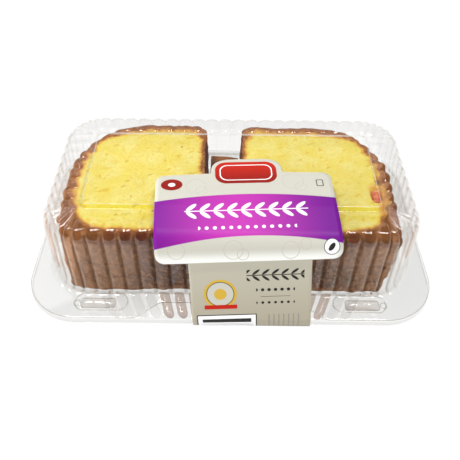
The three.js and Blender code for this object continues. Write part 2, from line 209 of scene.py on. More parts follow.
def layered_noise(points, layers, seed):
    """Noise of several heights and scales added up, each with the next seed."""
    return sum(height * noise_at(points, scale, seed + i) for i, (height, scale) in enumerate(layers))


# Shader graphs
class Graph:
    """Adds nodes to a new material and wires plain numbers, colours or sockets into them."""

    def __init__(self, name):
        self.material = bpy.data.materials.new(name)
        self.material.use_nodes = True
        self.tree = self.material.node_tree
        self.tree.nodes.clear()
        self.output = self.tree.nodes.new("ShaderNodeOutputMaterial")

    def wire(self, socket, value):
        if isinstance(value, bpy.types.NodeSocket):
            self.tree.links.new(value, socket)
        elif socket.type == "RGBA":
            socket.default_value = (*value, 1)
        else:
            socket.default_value = value

    def node(self, kind, inputs=None, **settings):
        made = self.tree.nodes.new(kind)
        for key, value in settings.items():
            setattr(made, key, value)
        for key, value in (inputs or {}).items():
            self.wire(made.inputs[key], value)
        return made

    def math(self, operation, *values, clamp=False):
        inputs = dict(enumerate(values))
        return self.node("ShaderNodeMath", inputs, operation=operation, use_clamp=clamp).outputs[0]

    def plus(self, first, second):
        return self.math("ADD", first, second)

    def minus(self, first, second):
        return self.math("SUBTRACT", first, second)

    def times(self, first, second):
        return self.math("MULTIPLY", first, second)

    def scaled(self, value, factor, added):
        return self.math("MULTIPLY_ADD", value, factor, added)

    def larger(self, first, second):
        return self.math("MAXIMUM", first, second)

    def size(self, value):
        return self.math("ABSOLUTE", value)

    def cell(self, run, width):
        """Wraps a run into cells of this width, each from minus to plus half of it."""
        return self.math("WRAP", run, width / 2, -width / 2)

    def step(self, value, low, high):
        inputs = {"Value": value, "From Min": low, "From Max": high}
        made = self.node("ShaderNodeMapRange", inputs, interpolation_type="SMOOTHSTEP")
        return made.outputs["Result"]

    def mix(self, factor, first, second, blend="MIX"):
        made = self.node("ShaderNodeMix", data_type="RGBA", blend_type=blend)
        for index, value in ((0, factor), (6, first), (7, second)):
            self.wire(made.inputs[index], value)
        return made.outputs[2]

    def over(self, base, colour, mask, weight):
        """Lays a colour over another where a mask says so, at this weight."""
        return self.mix(self.times(mask, weight), base, colour)

    def ramp(self, value, stops):
        made = self.node("ShaderNodeValToRGB", {"Fac": value})
        elements = made.color_ramp.elements
        while len(elements) < len(stops):
            elements.new(0.5)
        for element, (place, colour) in zip(elements, stops):
            element.position = place
            element.color = (*colour, 1)
        return made.outputs["Color"]

    def place(self):
        return self.node("ShaderNodeTexCoord").outputs["Object"]

    def noise(self, vector, scale, detail=3.0, roughness=0.55):
        inputs = {"Vector": vector, "Scale": scale, "Detail": detail, "Roughness": roughness}
        return self.node("ShaderNodeTexNoise", inputs).outputs["Fac"]

    def attribute(self, name):
        return self.node("ShaderNodeAttribute", attribute_name=name).outputs["Fac"]

    def bump(self, height, distance, strength=1.0):
        inputs = {"Height": height, "Distance": distance, "Strength": strength}
        return self.node("ShaderNodeBump", inputs).outputs["Normal"]

    def principled(self, **inputs):
        named = {key.replace("_", " ").title().replace("Ior", "IOR"): inputs[key] for key in inputs}
        return self.node("ShaderNodeBsdfPrincipled", named)

    def surface(self, shader):
        self.tree.links.new(shader.outputs[0], self.output.inputs["Surface"])
        return self.material

    def solid(self, **inputs):
        """A surface of one principled shader."""
        return self.surface(self.principled(**inputs))

    def blended(self, share, first, second):
        """A surface of two shaders, with this share of the second."""
        inputs = {0: share, 1: first.outputs[0], 2: second.outputs[0]}
        return self.surface(self.node("ShaderNodeMixShader", inputs))


# Clear plastic
SHEET_TINT = (0.986, 0.986, 0.984)
# The tray's tint is partly its own and partly painted shade, darkening the table and the gap seen through it
TRAY_TINT_AND_SHADE = (0.955, 0.955, 0.949)
LATCH_TINT = (0.955, 0.94, 0.928)
EDGE_TINT = (0.84, 0.83, 0.81)
# Painted shadow: a brown-grey tint on the ribs near the label, where the pack shades the table
RIB_SHADOW_TINT = (0.82, 0.76, 0.725)
# Painted shade: a darker see-through tint in the front grooves, standing in for their dark look
GROOVE_SHADE_TINT = (0.76, 0.73, 0.70)
# Painted light: a yellow see-through tint on the panel's front step, standing in for the light the step bends
# onto the crumb
STEP_LIGHT_TINT = (1.0, 0.995, 0.70)
GLOSS_TINT = (1, 0.985, 0.965)
# Painted shadow: a darker tint on the tray below these heights in metres, at its foot on the table
TRAY_FOOT_SHADOW = Sizes(start=0.0022, end=0.0034, tint=(0.89, 0.89, 0.883))
# Whites of the painted highlight on the side ribs and the line round the panel
HIGHLIGHT_WHITES = ((0.93, 0.93, 0.91), (0.97, 0.97, 0.96))
MIRROR_SHARE = 0.046
GLANCE_POWER = 3.9
RIDGE_MIRROR = Sizes(groove=0.22, more=0.58)


def clear_plastic(name, tint, roughness=0.015, wave_depth=0.00003, fluted=False, low=None):
    """Thin clear sheet: light passes straight through, and its faces mirror more at a glance."""
    graph = Graph(name)
    place = graph.place()
    facing = graph.node("ShaderNodeLayerWeight", {"Blend": 0.5}).outputs["Facing"]
    share = graph.scaled(graph.math("POWER", facing, GLANCE_POWER), 1 - MIRROR_SHARE, MIRROR_SHARE)
    if fluted:
        ridge = graph.step(graph.attribute("ridge"), 0.0, 0.5)
        share = graph.times(share, graph.scaled(ridge, RIDGE_MIRROR.more, RIDGE_MIRROR.groove))
        # Painted shade: a darker tint in the front grooves
        tint = graph.mix(graph.attribute("groove"), tint, GROOVE_SHADE_TINT)
        # Painted light: a yellow tint on the panel's front step
        tint = graph.mix(graph.attribute("step"), tint, STEP_LIGHT_TINT)
    # Painted shadow: a darker tint low on the tray
    if low:
        up = graph.node("ShaderNodeSeparateXYZ", {"Vector": place}).outputs["Z"]
        tint = graph.mix(graph.step(up, low.start, low.end), low.tint, tint)
    clear = graph.node("ShaderNodeBsdfTransparent", {"Color": tint})
    waves = graph.bump(graph.noise(place, 60.0, detail=1.0), wave_depth)
    inputs = {"Color": GLOSS_TINT, "Roughness": roughness, "Normal": waves}
    return graph.blended(share, clear, graph.node("ShaderNodeBsdfAnisotropic", inputs))


def highlight_plastic(name, clear_share):
    """Clear sheet mixed with a cloudy white that stands in for a highlight: painted highlight."""
    graph = Graph(name)
    cloud = graph.noise(graph.place(), 300.0, detail=2.0)
    white = graph.principled(base_color=graph.mix(cloud, *HIGHLIGHT_WHITES), roughness=0.25)
    clear = graph.node("ShaderNodeBsdfTransparent", {"Color": (0.99, 0.99, 0.99)})
    return graph.blended(clear_share, white, clear)


# Cake colours
CRUST_DARK = (0.105, 0.030, 0.009)
CRUST_BROWN = (0.20, 0.066, 0.021)
CRUST_MOTTLE = (0.19, 0.052, 0.016)
CRUST_WARM = (0.34, 0.135, 0.045)
CRUST_TOP = (0.37, 0.130, 0.036)
CRUST_PALE = (0.40, 0.23, 0.13)
# Paler crust at the pack's ends: partly the crown's own crust, partly painted light
CRUST_LIT_ENDS = (0.42, 0.195, 0.080)
CRUST_SPECK = (0.56, 0.27, 0.115)
CRUST_GOLD = (0.70, 0.36, 0.07)
CRUMB_WARM = (0.755, 0.545, 0.080)
CRUMB = (0.765, 0.63, 0.120)
CRUMB_PALE = (0.785, 0.69, 0.215)
PORE = (0.74, 0.45, 0.035)
PORE_TURN = math.radians(28)
FRUIT_COLOURS = [(0.3, (0.40, 0.06, 0.025)), (0.5, (0.66, 0.17, 0.07)), (0.7, (0.80, 0.38, 0.16))]
BROWNING = [(0.0, CRUST_WARM), (0.13, CRUST_TOP), (0.24, CRUST_GOLD), (0.36, CRUMB_WARM), (0.55, CRUMB)]
# Painted shade: dark knobs on the crust under the lid's front rim, standing in for the rim's refraction:
# heights in metres where they begin and are full, colours in the pack's middle and at its ends, and their
# spacing as a share of the flutes'
KNOB_SHADES = Sizes(low=0.0385, high=0.0408, middle=(0.115, 0.014, 0.001), ends=(0.19, 0.06, 0.012), spread=1.018)
# Place, radius and colour of single spots on the cut faces
CAKE_SPOTS = {
    "golden crown": ((90.5, -24.0, 45.0), 12.0, CRUST_GOLD),
    "stain round the fruit": ((84.0, -9.4, 45.6), 7.4, CRUST_GOLD),
    "crack by the fruit": ((86.0, -3.6, 45.8), 3.2, CRUST_BROWN),
    "brown speck": ((-30.6, 26.4, 46.0), 1.0, CRUST_TOP),
    "red bit": ((-43.7, -28.1, 46.0), 1.3, (0.55, 0.09, 0.04)),
}


class Cake(Graph):
    """Crumb that browns into crust by its distance from the crust, with pores and grain."""

    def __init__(self):
        super().__init__("cake_crumb_and_crust")
        self.at = self.place()
        self.edge = self.attribute("edge")
        self.broad = self.noise(self.at, 90.0, 2.0)
        self.middling = self.noise(self.at, 260.0)
        self.fine = self.noise(self.at, 620.0)
        self.grain = self.noise(self.at, 1700.0, 2.0)
        self.speck = self.noise(self.at, 400.0, 5.0, 0.75)
        self.light_speck = self.step(self.speck, 0.5, 0.62)
        self.pores = self.pore_mask()
        shifted = self.sway(self.edge, self.broad, 3.0)
        self.reach = self.math("DIVIDE", self.sway(shifted, self.middling, 2.4), 10.0, clamp=True)
        self.crusty = self.step(self.reach, 0.24, 0.08)
        mottle = self.step(self.noise(self.at, 330.0, 5.0, 0.75), 0.46, 0.6)
        self.mottle = self.times(mottle, self.crusty)

    def sway(self, value, noise_value, amount):
        """A value moved up and down by a noise."""
        return self.scaled(self.minus(noise_value, 0.5), amount, value)

    def pore_mask(self):
        inputs = {"Vector": self.at, "Rotation": (0, 0, -PORE_TURN), "Scale": (1.0, 2.3, 1.0)}
        stretched = self.node("ShaderNodeMapping", inputs).outputs[0]
        small = self.step(self.noise(stretched, 420.0, 1.0, 0.4), 0.62, 0.72)
        return self.larger(self.times(small, 0.5), self.attribute("pore"))

    def crumb(self):
        colour = self.mix(self.step(self.broad, 0.35, 0.7), CRUMB, CRUMB_PALE)
        colour = self.over(colour, CRUMB_WARM, self.step(self.fine, 0.52, 0.75), 0.7)
        colour = self.over(colour, PORE, self.pores, 0.6)
        return self.over(colour, CRUMB_WARM, self.step(self.grain, 0.45, 0.7), 0.22)

    def cut_face(self):
        """Crumb with the crust that browns round it, and single spots."""
        shade = self.times(self.step(self.fine, 0.5, 0.75), 0.45)
        colour = self.mix(shade, self.ramp(self.reach, BROWNING), CRUST_BROWN, "MULTIPLY")
        colour = self.over(colour, CRUST_MOTTLE, self.mottle, 0.62)
        colour = self.over(colour, CRUST_SPECK, self.times(self.light_speck, self.crusty), 0.6)
        colour = self.mix(self.step(self.reach, 0.26, 0.5), colour, self.crumb())
        for place, radius, spot_colour in CAKE_SPOTS.values():
            inputs = {0: self.at, 1: [size * MM for size in place]}
            away = self.node("ShaderNodeVectorMath", inputs, operation="DISTANCE").outputs["Value"]
            mask = self.step(self.sway(away, self.middling, 0.004), radius * MM, radius * MM * 0.45)
            colour = self.over(colour, spot_colour, mask, 0.8)
        return colour

    def side_crust(self):
        """Crust of the sides: painted shade darkens it toward the pack's middle, its paler ends are partly
        the crown's own crust and partly painted light, and dark knobs of painted shade sit under the lid's
        front rim.
        """
        split = self.node("ShaderNodeSeparateXYZ", {"Vector": self.at})
        x, up = split.outputs["X"], split.outputs["Z"]
        sideways = self.size(x)
        ends = self.plus(self.step(x, -0.036, -0.070), self.step(x, 0.048, 0.082))
        lit = self.sway(self.edge, self.middling, 3.0)
        pitch = FLUTE_PITCH * MM
        from_flute = self.size(self.cell(self.scaled(x, 1 / KNOB_SHADES.spread, -pitch / 2), pitch))
        on_flute = self.scaled(self.step(from_flute, 0.40 * pitch, 0.27 * pitch), 0.7, 0.3)
        knob_shade = self.mix(self.step(sideways, 0.052, 0.082), KNOB_SHADES.middle, KNOB_SHADES.ends)
        patches = self.step(self.noise(self.at, 240.0, 4.0, 0.65), 0.40, 0.66)
        colour = self.mix(patches, CRUST_BROWN, CRUST_DARK)
        layers = [
            (CRUST_WARM, self.step(self.fine, 0.5, 0.8), 0.5),
            (CRUST_PALE, self.step(self.grain, 0.5, 0.68), 0.4),
            # Paler at both ends, partly the crown's own crust and partly painted light; darker toward the
            # middle, painted shade
            (CRUST_LIT_ENDS, ends, 0.74),
            (CRUST_DARK, self.step(sideways, 0.060, 0.030), 0.58),
            (CRUST_WARM, self.step(up, 0.007, 0.002), 0.6),
            (CRUST_TOP, self.step(lit, -1.6, 0.4), 1.0),
            (CRUST_DARK, self.step(self.speck, 0.46, 0.34), 0.7),
            (CRUST_SPECK, self.light_speck, 0.62),
            # Painted shade: dark knobs under the lid's front rim, standing in for the rim's refraction
            (knob_shade, self.times(self.step(up, KNOB_SHADES.low, KNOB_SHADES.high), on_flute), 0.85),
        ]
        for layer in layers:
            colour = self.over(colour, *layer)
        return colour

    def relief(self):
        height = self.scaled(self.pores, -0.5, self.fine)
        height = self.scaled(self.mottle, -0.7, height)
        return self.scaled(self.grain, 0.4, self.plus(height, self.speck))


def cake_material():
    graph = Cake()
    return graph.solid(
        base_color=graph.mix(graph.step(graph.edge, -0.3, 0.5), graph.side_crust(), graph.cut_face()),
        roughness=0.82,
        specular_ior_level=0.22,
        normal=graph.bump(graph.relief(), 0.0005, 0.7),
    )


def crust_material(name, dark, brown, gold):
    graph = Graph(name)
    place = graph.place()
    broad = graph.noise(place, 140.0, detail=4.0, roughness=0.65)
    fine = graph.noise(place, 600.0)
    colour = graph.mix(graph.step(broad, 0.38, 0.66), brown, dark)
    return graph.solid(
        base_color=graph.mix(graph.step(fine, 0.55, 0.78), colour, gold),
        roughness=0.75,
        specular_ior_level=0.3,
        normal=graph.bump(graph.scaled(fine, 0.6, broad), 0.0006),
    )


def fruit_material():
    graph = Graph("candied_fruit")
    broad = graph.noise(graph.place(), 300.0)
    return graph.solid(
        base_color=graph.ramp(broad, FRUIT_COLOURS),
        roughness=0.3,
        subsurface_weight=0.25,
        subsurface_radius=(0.003, 0.001, 0.0006),
        normal=graph.bump(broad, 0.0006),
    )


# The clear lid
def flute_stations():
    """Points on the rectangle of corner centres, the way out, the place in a flute, and the corners."""
    centres = np.array([(-1, -1), (1, -1), (1, 1), (-1, 1)]) * [CORNER_X, CORNER_Y]
    rows = []
    for side, start in enumerate(centres):
        end = centres[(side + 1) % 4]
        angle = 90 * (side - 1)
        steps = (SHORT_FLUTES if side % 2 else LONG_FLUTES) * POINTS_PER_FLUTE
        for i in range(steps):
            rows.append((*(start + (end - start) * i / steps), angle, i % POINTS_PER_FLUTE, 0, 0))
        steps = CORNER_FLUTES * POINTS_PER_FLUTE
        for i in range(steps):
            part = min(i, steps - i) / steps
            rows.append((*end, angle + 90 * i / steps, i % POINTS_PER_FLUTE, 1, part))
    table = np.array(rows, float)
    angle = np.radians(table[:, 2])
    out = np.column_stack([np.cos(angle), np.sin(angle)])
    return table[:, :2], out, table[:, 3] / POINTS_PER_FLUTE, table[:, 4] > 0, table[:, 5]


STATION, OUT, PLACE, IN_CORNER, CORNER_PART = flute_stations()
ON_FRONT = smoothstep(-OUT[:, 1], *FRONT_TURN)
STRAIGHT_FRONT = ON_FRONT * (1 - smoothstep(CORNER_PART, 0, CORNER_FADE))
FINGER_STARTS = from_to(FINGER_START.elsewhere, FINGER_START.front, STRAIGHT_FRONT)
FINGER_SHARES = from_to(FINGER_SHARE.elsewhere, FINGER_SHARE.front, ON_FRONT)
DEPTH_SHARES = from_to(SHALLOW_SHARE, 1.0, ON_FRONT)


def finger_height(run):
    """How high the round fingers stand at this run, from 0 in a groove to 1 on a ridge."""
    pitch = np.where(IN_CORNER, max(run, 1.0) * QUARTER / CORNER_FLUTES, FLUTE_PITCH)
    across = np.minimum(PLACE, 1 - PLACE) * pitch
    half = FINGER_SHARES * pitch
    behind = np.maximum(FINGER_STARTS + FINGER_TIP - run, 0) * half / FINGER_TIP
    inside = np.clip(1 - np.hypot(across, behind) / half, 0, 1)
    return (1 - (1 - inside) ** 2) ** FINGER_ROUND


def fluted_ring(run, z, slope, depth, inset):
    sink = depth * DEPTH_SHARES * (1 - finger_height(run)) + inset
    out = run - sink * math.sin(slope)
    points = STATION + OUT * out[:, None] + [0, MIDDLE_Y]
    return with_z(points, z - sink * math.cos(slope))


def paced_ring(half_length, half_depth, radius, z):
    """A rounded rectangle with as many points as the flutes have."""
    scale = [(half_length - radius) / CORNER_X, (half_depth - radius) / CORNER_Y]
    return with_z(STATION * scale + OUT * radius + [0, MIDDLE_Y], z)


def flange_edge(inset):
    """The flange's edge, drawn back at the front where the label passes."""
    ring = paced_ring(*FLANGE_HALF, FLANGE_CORNER, FLANGE_TOP - FLANGE_DROOP - inset)
    on_front = ring[:, 1] < MIDDLE_Y - FLANGE_HALF[1] + 1e-6
    share = smoothstep(CUT_BACK.outer - np.abs(ring[:, 0]), 0, CUT_BACK.outer - CUT_BACK.inner)
    ring[on_front, 1] += CUT_BACK.depth * share[on_front]
    return ring


def lid_profile():
    """Run, height, slope and flute depth from the foot's fillet to the fingers' tips."""
    foot_height = FLANGE_TOP + FOOT_FILLET
    rim_height = PANEL_TOP - RIM_DROP
    bend_height = rim_height - RIM_RADIUS
    levels = []
    for turn in np.linspace(0, QUARTER, LID_STEPS.foot):
        run = FOOT_RUN + FOOT_FILLET * (1 - math.sin(turn))
        z = foot_height - FOOT_FILLET * math.cos(turn)
        levels.append((run, z, turn, FINGER_DEPTH * math.sin(turn) ** 2))
    for share in np.linspace(0, 1, LID_STEPS.wall)[1:]:
        run = from_to(FOOT_RUN, WALL_RUN, share)
        levels.append((run, from_to(foot_height, bend_height, share), QUARTER, FINGER_DEPTH))
    for turn in np.linspace(QUARTER, 0, LID_STEPS.rim)[1:]:
        run = WALL_RUN - RIM_RADIUS * (1 - math.sin(turn))
        z = bend_height + RIM_RADIUS * math.cos(turn)
        levels.append((run, z, turn, from_to(SHOULDER_DEPTH, FINGER_DEPTH, math.sin(turn))))
    for share in np.linspace(0, 1, LID_STEPS.shoulder)[1:]:
        run = from_to(SHOULDER_RUN, FINGER_START.elsewhere - FINGER_PAST_TIP, share)
        z = from_to(rim_height, PANEL_TOP - PANEL_STEP.rise, share)
        levels.append((run, z, 0.0, from_to(SHOULDER_DEPTH, TIP_DEPTH, share)))
    return levels


def panel_levels(shoulder):
    """How far each ring lies outside the panel's edge, and its height, from the step's foot inwards."""
    run, bend, near, far = PANEL_STEP.run, PANEL_STEP.bend, PANEL_STEP.near, PANEL_STEP.far
    foot = [(run + bend, shoulder), (run, shoulder + near), (run - bend, shoulder + far)]
    head = [(bend, PANEL_TOP - far), (0.0, PANEL_TOP - near), (-bend, PANEL_TOP)]
    return foot + head + [(-inside, PANEL_TOP) for inside in PANEL_RINGS]


def lid_face(inset):
    """Rings of one face from the flange's edge to the panel, each with its ridge value, its groove value for
    painted shade and its step value for painted light.
    """
    flat = np.ones(len(PLACE))
    none = np.zeros(len(PLACE))
    edge = flange_edge(inset)
    profile = []
    for level in lid_profile():
        between = ON_FRONT * (1 - finger_height(level[0]))
        groove = smoothstep(between, *GROOVE_EDGE) * math.sin(level[2]) ** 2
        profile.append((fluted_ring(*level, inset), 1 - between, groove, none))
    rings = []
    for share in FLANGE_RINGS:
        rings.append((from_to(edge, profile[0][0], share), flat, none, none))
    rings += profile
    shoulder = float(profile[-1][0][:, 2].mean()) + inset
    for grow, z in panel_levels(shoulder):
        reach = grow - inset * PANEL_STEP.narrow
        radius = max(PANEL_CORNER + grow, PANEL_LEAST_CORNER)
        ring = paced_ring(CORNER_X + reach, CORNER_Y + reach, radius, z - inset)
        ridge = none if grow < -PANEL_STEP.bend else flat
        rings.append((ring, ridge, none, STRAIGHT_FRONT if 0 < grow < PANEL_STEP.run else none))
    return rings


def lid_pieces(material, edge_material, line_material):
    """The shell, its cut edge, which shows as a fine dark line, and a white line round the panel, a painted
    highlight.
    """
    rings, ridges, groove_shades, steps = zip(*(lid_face(0)[::-1] + lid_face(SHEET)))
    points, faces = closed_loft(rings)
    shell = add_piece("lid_shell", points, [face[::-1] for face in faces], material, replaced=["lid"])
    for key, values in (("ridge", ridges), ("groove", groove_shades), ("step", steps)):
        give_values(shell, key, values)
    edge = flange_edge(SHEET / 2)
    radius = CUT_EDGE.thin + CUT_EDGE.more * smoothstep(-edge[:, 1], CUT_EDGE.start, CUT_EDGE.full)
    add_piece("lid_cut_edge", *tube(edge, radius, 6), edge_material)
    line = paced_ring(CORNER_X, CORNER_Y, PANEL_CORNER, PANEL_TOP - PANEL_LINE.sink)
    add_piece("lid_panel_line", *tube(line, PANEL_LINE.radius, 6), line_material)


# Latch buttons and their pressed outlines on the front flange
LATCH = Sizes(x=75.0, y=-62.3, half=(9.6, 3.2), corner=1.6, corner_share=0.6, droop_share=0.55)
LATCH_LEVELS = [(0, -0.3), (0, 0.3), (0.35, 1.2), (0.8, 1.85), (1.2, 2.2)]
LATCH_LINES = {
    "foot": Sizes(out=0.0, back=0.0, half=LATCH.half, corner=LATCH.corner, steps=8, rise=0.1, thick=0.3),
    "outline": Sizes(out=-1.5, back=0.9, half=(15.0, 5.6), corner=5.4, steps=12, rise=0.05, thick=0.28),
    "dot": Sizes(out=12.2, back=0.0, half=(1.9, 1.9), corner=1.89, steps=8, rise=0.05, thick=0.25),
}


def latch_pieces(material, line_material):
    flange_z = FLANGE_TOP - FLANGE_DROOP * LATCH.droop_share
    for side, word in ((-1, "left"), (1, "right")):
        x, y = side * LATCH.x, LATCH.y + MIDDLE_Y
        rings = []
        for inset, rise in LATCH_LEVELS:
            half = [size - inset for size in LATCH.half]
            ring = rounded_rectangle(*half, LATCH.corner - inset * LATCH.corner_share, 5, (x, y))
            rings.append(with_z(ring, flange_z + rise))
        add_piece(f"latch_{word}", *closed_loft(rings), material)
        for line, size in LATCH_LINES.items():
            middle = (x + side * size.out, y + size.back)
            ring = rounded_rectangle(*size.half, size.corner, size.steps, middle)
            path = with_z(ring, flange_z + size.rise)
            add_piece(f"latch_{line}_{word}", *tube(path, size.thick), line_material)


# The clear base tray and the ribs under its front flange
TRAY = Sizes(half=(104.0, 52.4), corner=22.0, least_corner=2.0, draft=0.6, fillet=1.0, flare=0.8, bend=1.0)
TRAY_KNEE = 1.6
TRAY_CORNER_STEPS = 24
# Margins of the floor's inner rings, and shares of the way across the flange
TRAY_FLOOR_RINGS = (-40, -3)
TRAY_FLANGE_RINGS = (0.04, 0.5, 0.97, 1)
TRAY_EDGE_TURNS = np.radians((30, 60, 90))
FILLET_MIDDLE = (0.3, 0.25)
RIB = Sizes(start=-53.4, end=-68.8, lean=0.88, half_width=3.0, height=1.3, crest=(4.0, 1.5))
RIB_END = Sizes(share=0.25, least=0.12)
RIB_STEPS = Sizes(around=12, along=16)
# Where the row of ribs begins, changes from painted highlight to painted shadow and back, and ends
RIB_BREAKS = (-80, -42, 60, 80)


def level_ring(half, corner, grow, z):
    """A level rounded rectangle that is grown by an even margin."""
    grown = (half[0] + grow, half[1] + grow, max(corner + grow, TRAY.least_corner))
    return with_z(rounded_rectangle(*grown, TRAY_CORNER_STEPS, (0, MIDDLE_Y)), z)


def tray_face(inset):
    """Rings of one face of the tray, from its floor out to the foot of its edge."""
    top, low = TRAY_TOP - inset, SHEET - inset
    fillet, draft = TRAY.fillet, TRAY.draft
    across, up = (share * fillet for share in FILLET_MIDDLE)
    floor = [(grow, low) for grow in (*TRAY_FLOOR_RINGS, -fillet)]
    floor += [(-across, low + up), (0, low + fillet)]
    riser = [(draft, top - fillet), (draft + across, top - up), (draft + fillet, top)]
    rings = [level_ring(TRAY.half, TRAY.corner, grow + inset, z) for grow, z in floor + riser]
    inner = rings[-1]
    outer = level_ring(FLANGE_HALF, FLANGE_CORNER, -TRAY.bend, top - FLANGE_DROOP)
    rings += [from_to(inner, outer, share) for share in TRAY_FLANGE_RINGS]
    edge = []
    for angle in TRAY_EDGE_TURNS:
        drop = (TRAY.bend - inset) * (1 - math.cos(angle))
        grow = TRAY.bend * (math.sin(angle) - 1) - inset * math.sin(angle)
        edge.append((grow, top - FLANGE_DROOP - drop))
    edge += [(TRAY.flare / 2 - inset, TRAY_KNEE), (TRAY.flare - inset, 0.0)]
    return rings + [level_ring(FLANGE_HALF, FLANGE_CORNER, grow, z) for grow, z in edge]


def tray_piece(material):
    points, faces = closed_loft(tray_face(SHEET) + tray_face(0)[::-1])
    add_piece("base_tray_shell", points, faces, material, replaced=["base_tray"])


def rib_rings(x):
    """Half-round sections of one rib that slopes down under the front flange to a round end."""
    rings = []
    turn = np.linspace(0, math.pi, RIB_STEPS.around)
    for share in np.sin(np.linspace(0, QUARTER, RIB_STEPS.along)):
        past = max(share - 1 + RIB_END.share, 0) / RIB_END.share
        swell = max(math.sqrt(max(1 - past ** 2, 0)), RIB_END.least)
        across = x * from_to(1, RIB.lean, share) + RIB.half_width * swell * np.cos(turn)
        y = np.full(len(turn), from_to(RIB.start, RIB.end, share) + MIDDLE_Y)
        z = from_to(*RIB.crest, share) + RIB.height * (swell * np.sin(turn) - 1)
        rings.append(np.column_stack([across, y, z]))
    return rings


def rib_piece(name, lowest, highest, material):
    points, faces = [], []
    for index in range(LONG_FLUTES + 1):
        x = (index - LONG_FLUTES / 2) * FLUTE_PITCH
        if lowest < x < highest:
            rib_points, rib_faces = closed_loft(rib_rings(x))
            start = len(points)
            points += list(rib_points)
            faces += [tuple(start + corner for corner in face) for face in rib_faces]
    add_piece(name, points, faces, material)


# Cake slices
SLICES = 4
LEFT_LOAF = Sizes(
    foot=-15.2, side=-1, height=81.8, slant=0.0, lower_slant=0.4, taper=0.05, back=48.0, front=-47.6,
    radii=(9, 46, 20, 8), lower_radius=3.6, corner=(-96.0, -46.0), seed=3,
)
RIGHT_LOAF = Sizes(
    foot=5.4, side=1, height=89.0, slant=0.9, lower_slant=1.3, taper=0.3, back=46.8, front=-47.6,
    radii=(7, 43, 4, 8), lower_radius=0, corner=(91.5, -47.0), seed=8,
)
TOP_DETAIL = Sizes(around=520, wall=16, cap=70)
LOWER_DETAIL = Sizes(around=300, wall=9, cap=6)
CAP_PACE = 1.15
FRONT_SPREAD = 0.8
SEAM = 0.06
SEAM_DIP = Sizes(depth=0.25, power=12)
DEEP_CRUST = -9.0
# Depth in the crust for each millimetre below the top
SIDE_DEPTH = 0.8
# Where the crown, the front corner, the front and the back begin and are full
CROWN_RISE = (0.78, 0.97)
CORNER_REACH = (34, 6)
FRONT_CRUST = (34, 45)
BACK_CRUST = (16, 8)
# How much broader the browning is on the crown and at the back, and how much further in at the corner
BROAD_CRUST = Sizes(crown=0.9, back=1.2, corner=4.2)
# Shares of the way from a slice's foot to the middle of its underside
FLOOR_RINGS = (0.9, 0.5, 0.12)
# Height and scale of the crust's lumps, coarse to fine
LUMPS = ((0.8, 0.10), (0.75, 0.26), (0.4, 0.7))
LUMP_SINK = 0.35
LUMP_MOST = 1.0
CRAGS = Sizes(height=2.4, sway=0.35, scale=0.12, middle=0.62)
TOP_ROUND = Sizes(least=0.7, crown=2.4, corner=1.2, start=0.3)
# Height and scale of the cut face's unevenness
CUT_LIFTS = ((0.16, 0.35), (0.12, 0.9))
CUT_SINK = 0.12
CUT_MOST = 0.05
PORE_DEPTH = 0.32
PORE_SCALE = (0.24, 0.52)
PORE_EDGE = (0.36, 0.62)
FRUIT_HOLLOW = Sizes(depth=2.0, rim=1.5, full=0.8)


def arc(middle, radius, start, end, steps=24):
    angles = np.radians(np.linspace(start, end, steps))
    return np.column_stack([middle[0] + radius * np.cos(angles), middle[1] + radius * np.sin(angles)])


def run_lengths(line):
    """Length along a line at each of its points."""
    return np.concatenate([[0], np.cumsum(np.linalg.norm(np.diff(line, axis=0), axis=1))])


def along_line(line, lengths, spots):
    """Points of a flat line at these lengths along it."""
    return np.column_stack([np.interp(spots, lengths, line[:, axis]) for axis in (0, 1)])


def loaf_section(loaf, level, count):
    """A loaf's section at a share of its stack's height, as evenly spaced points, anticlockwise."""
    below = (1 - level) * (SLICES - 1)
    foot_back, crown_back, crown_front, foot_front = loaf.radii
    height = loaf.height - loaf.taper * below
    low_crown = height - loaf.slant - loaf.lower_slant * below
    crown_front -= loaf.lower_radius * below
    back, front = loaf.back, loaf.front - FRONT_SPREAD * below
    outline = np.concatenate([
        arc((foot_back, back - foot_back), foot_back, 180, 90),
        arc((height - crown_back, back - crown_back), crown_back, 90, 0, 48),
        arc((low_crown - crown_front, front + crown_front), crown_front, 0, -90),
        arc((foot_front, front + foot_front), foot_front, -90, -180),
    ])
    outline = np.concatenate([outline, outline[:1]])
    lengths = run_lengths(outline)
    section = along_line(outline, lengths, np.linspace(0, lengths[-1], count, endpoint=False))
    section = section * [loaf.side, 1] + [loaf.foot, MIDDLE_Y]
    return section[::-1] if loaf.side > 0 else section


def outward(section):
    ahead = np.roll(section, -1, axis=0) - np.roll(section, 1, axis=0)
    normal = np.column_stack([ahead[:, 1], -ahead[:, 0]])
    return normal / np.linalg.norm(normal, axis=1)[:, None]


def edge_distance(points, outline):
    """How far each point lies from the nearest point of an outline, seen from above."""
    tree = KDTree(len(outline))
    for index, (x, y) in enumerate(outline[:, :2]):
        tree.insert((x, y, 0), index)
    tree.balance()
    return np.array([tree.find((x, y, 0))[2] for x, y in points[:, :2]])


def crown_share(loaf, points):
    """0 over most of a slice, rising to 1 at its crown."""
    along = loaf.side * (points[:, 0] - loaf.foot) / loaf.height
    return smoothstep(along, *CROWN_RISE)


def corner_share(loaf, points):
    """0 away from the front crown corner, rising to 1 at it."""
    away = np.linalg.norm(points[:, :2] - np.array(loaf.corner), axis=1)
    return smoothstep(-away, -CORNER_REACH[0], -CORNER_REACH[1])


def top_rounding(loaf, section):
    """How far the top slice's crust curves in before its cut face begins."""
    crown = np.maximum(smoothstep(-section[:, 1], *FRONT_CRUST), crown_share(loaf, section))
    return TOP_ROUND.least + TOP_ROUND.crown * crown + TOP_ROUND.corner * corner_share(loaf, section)


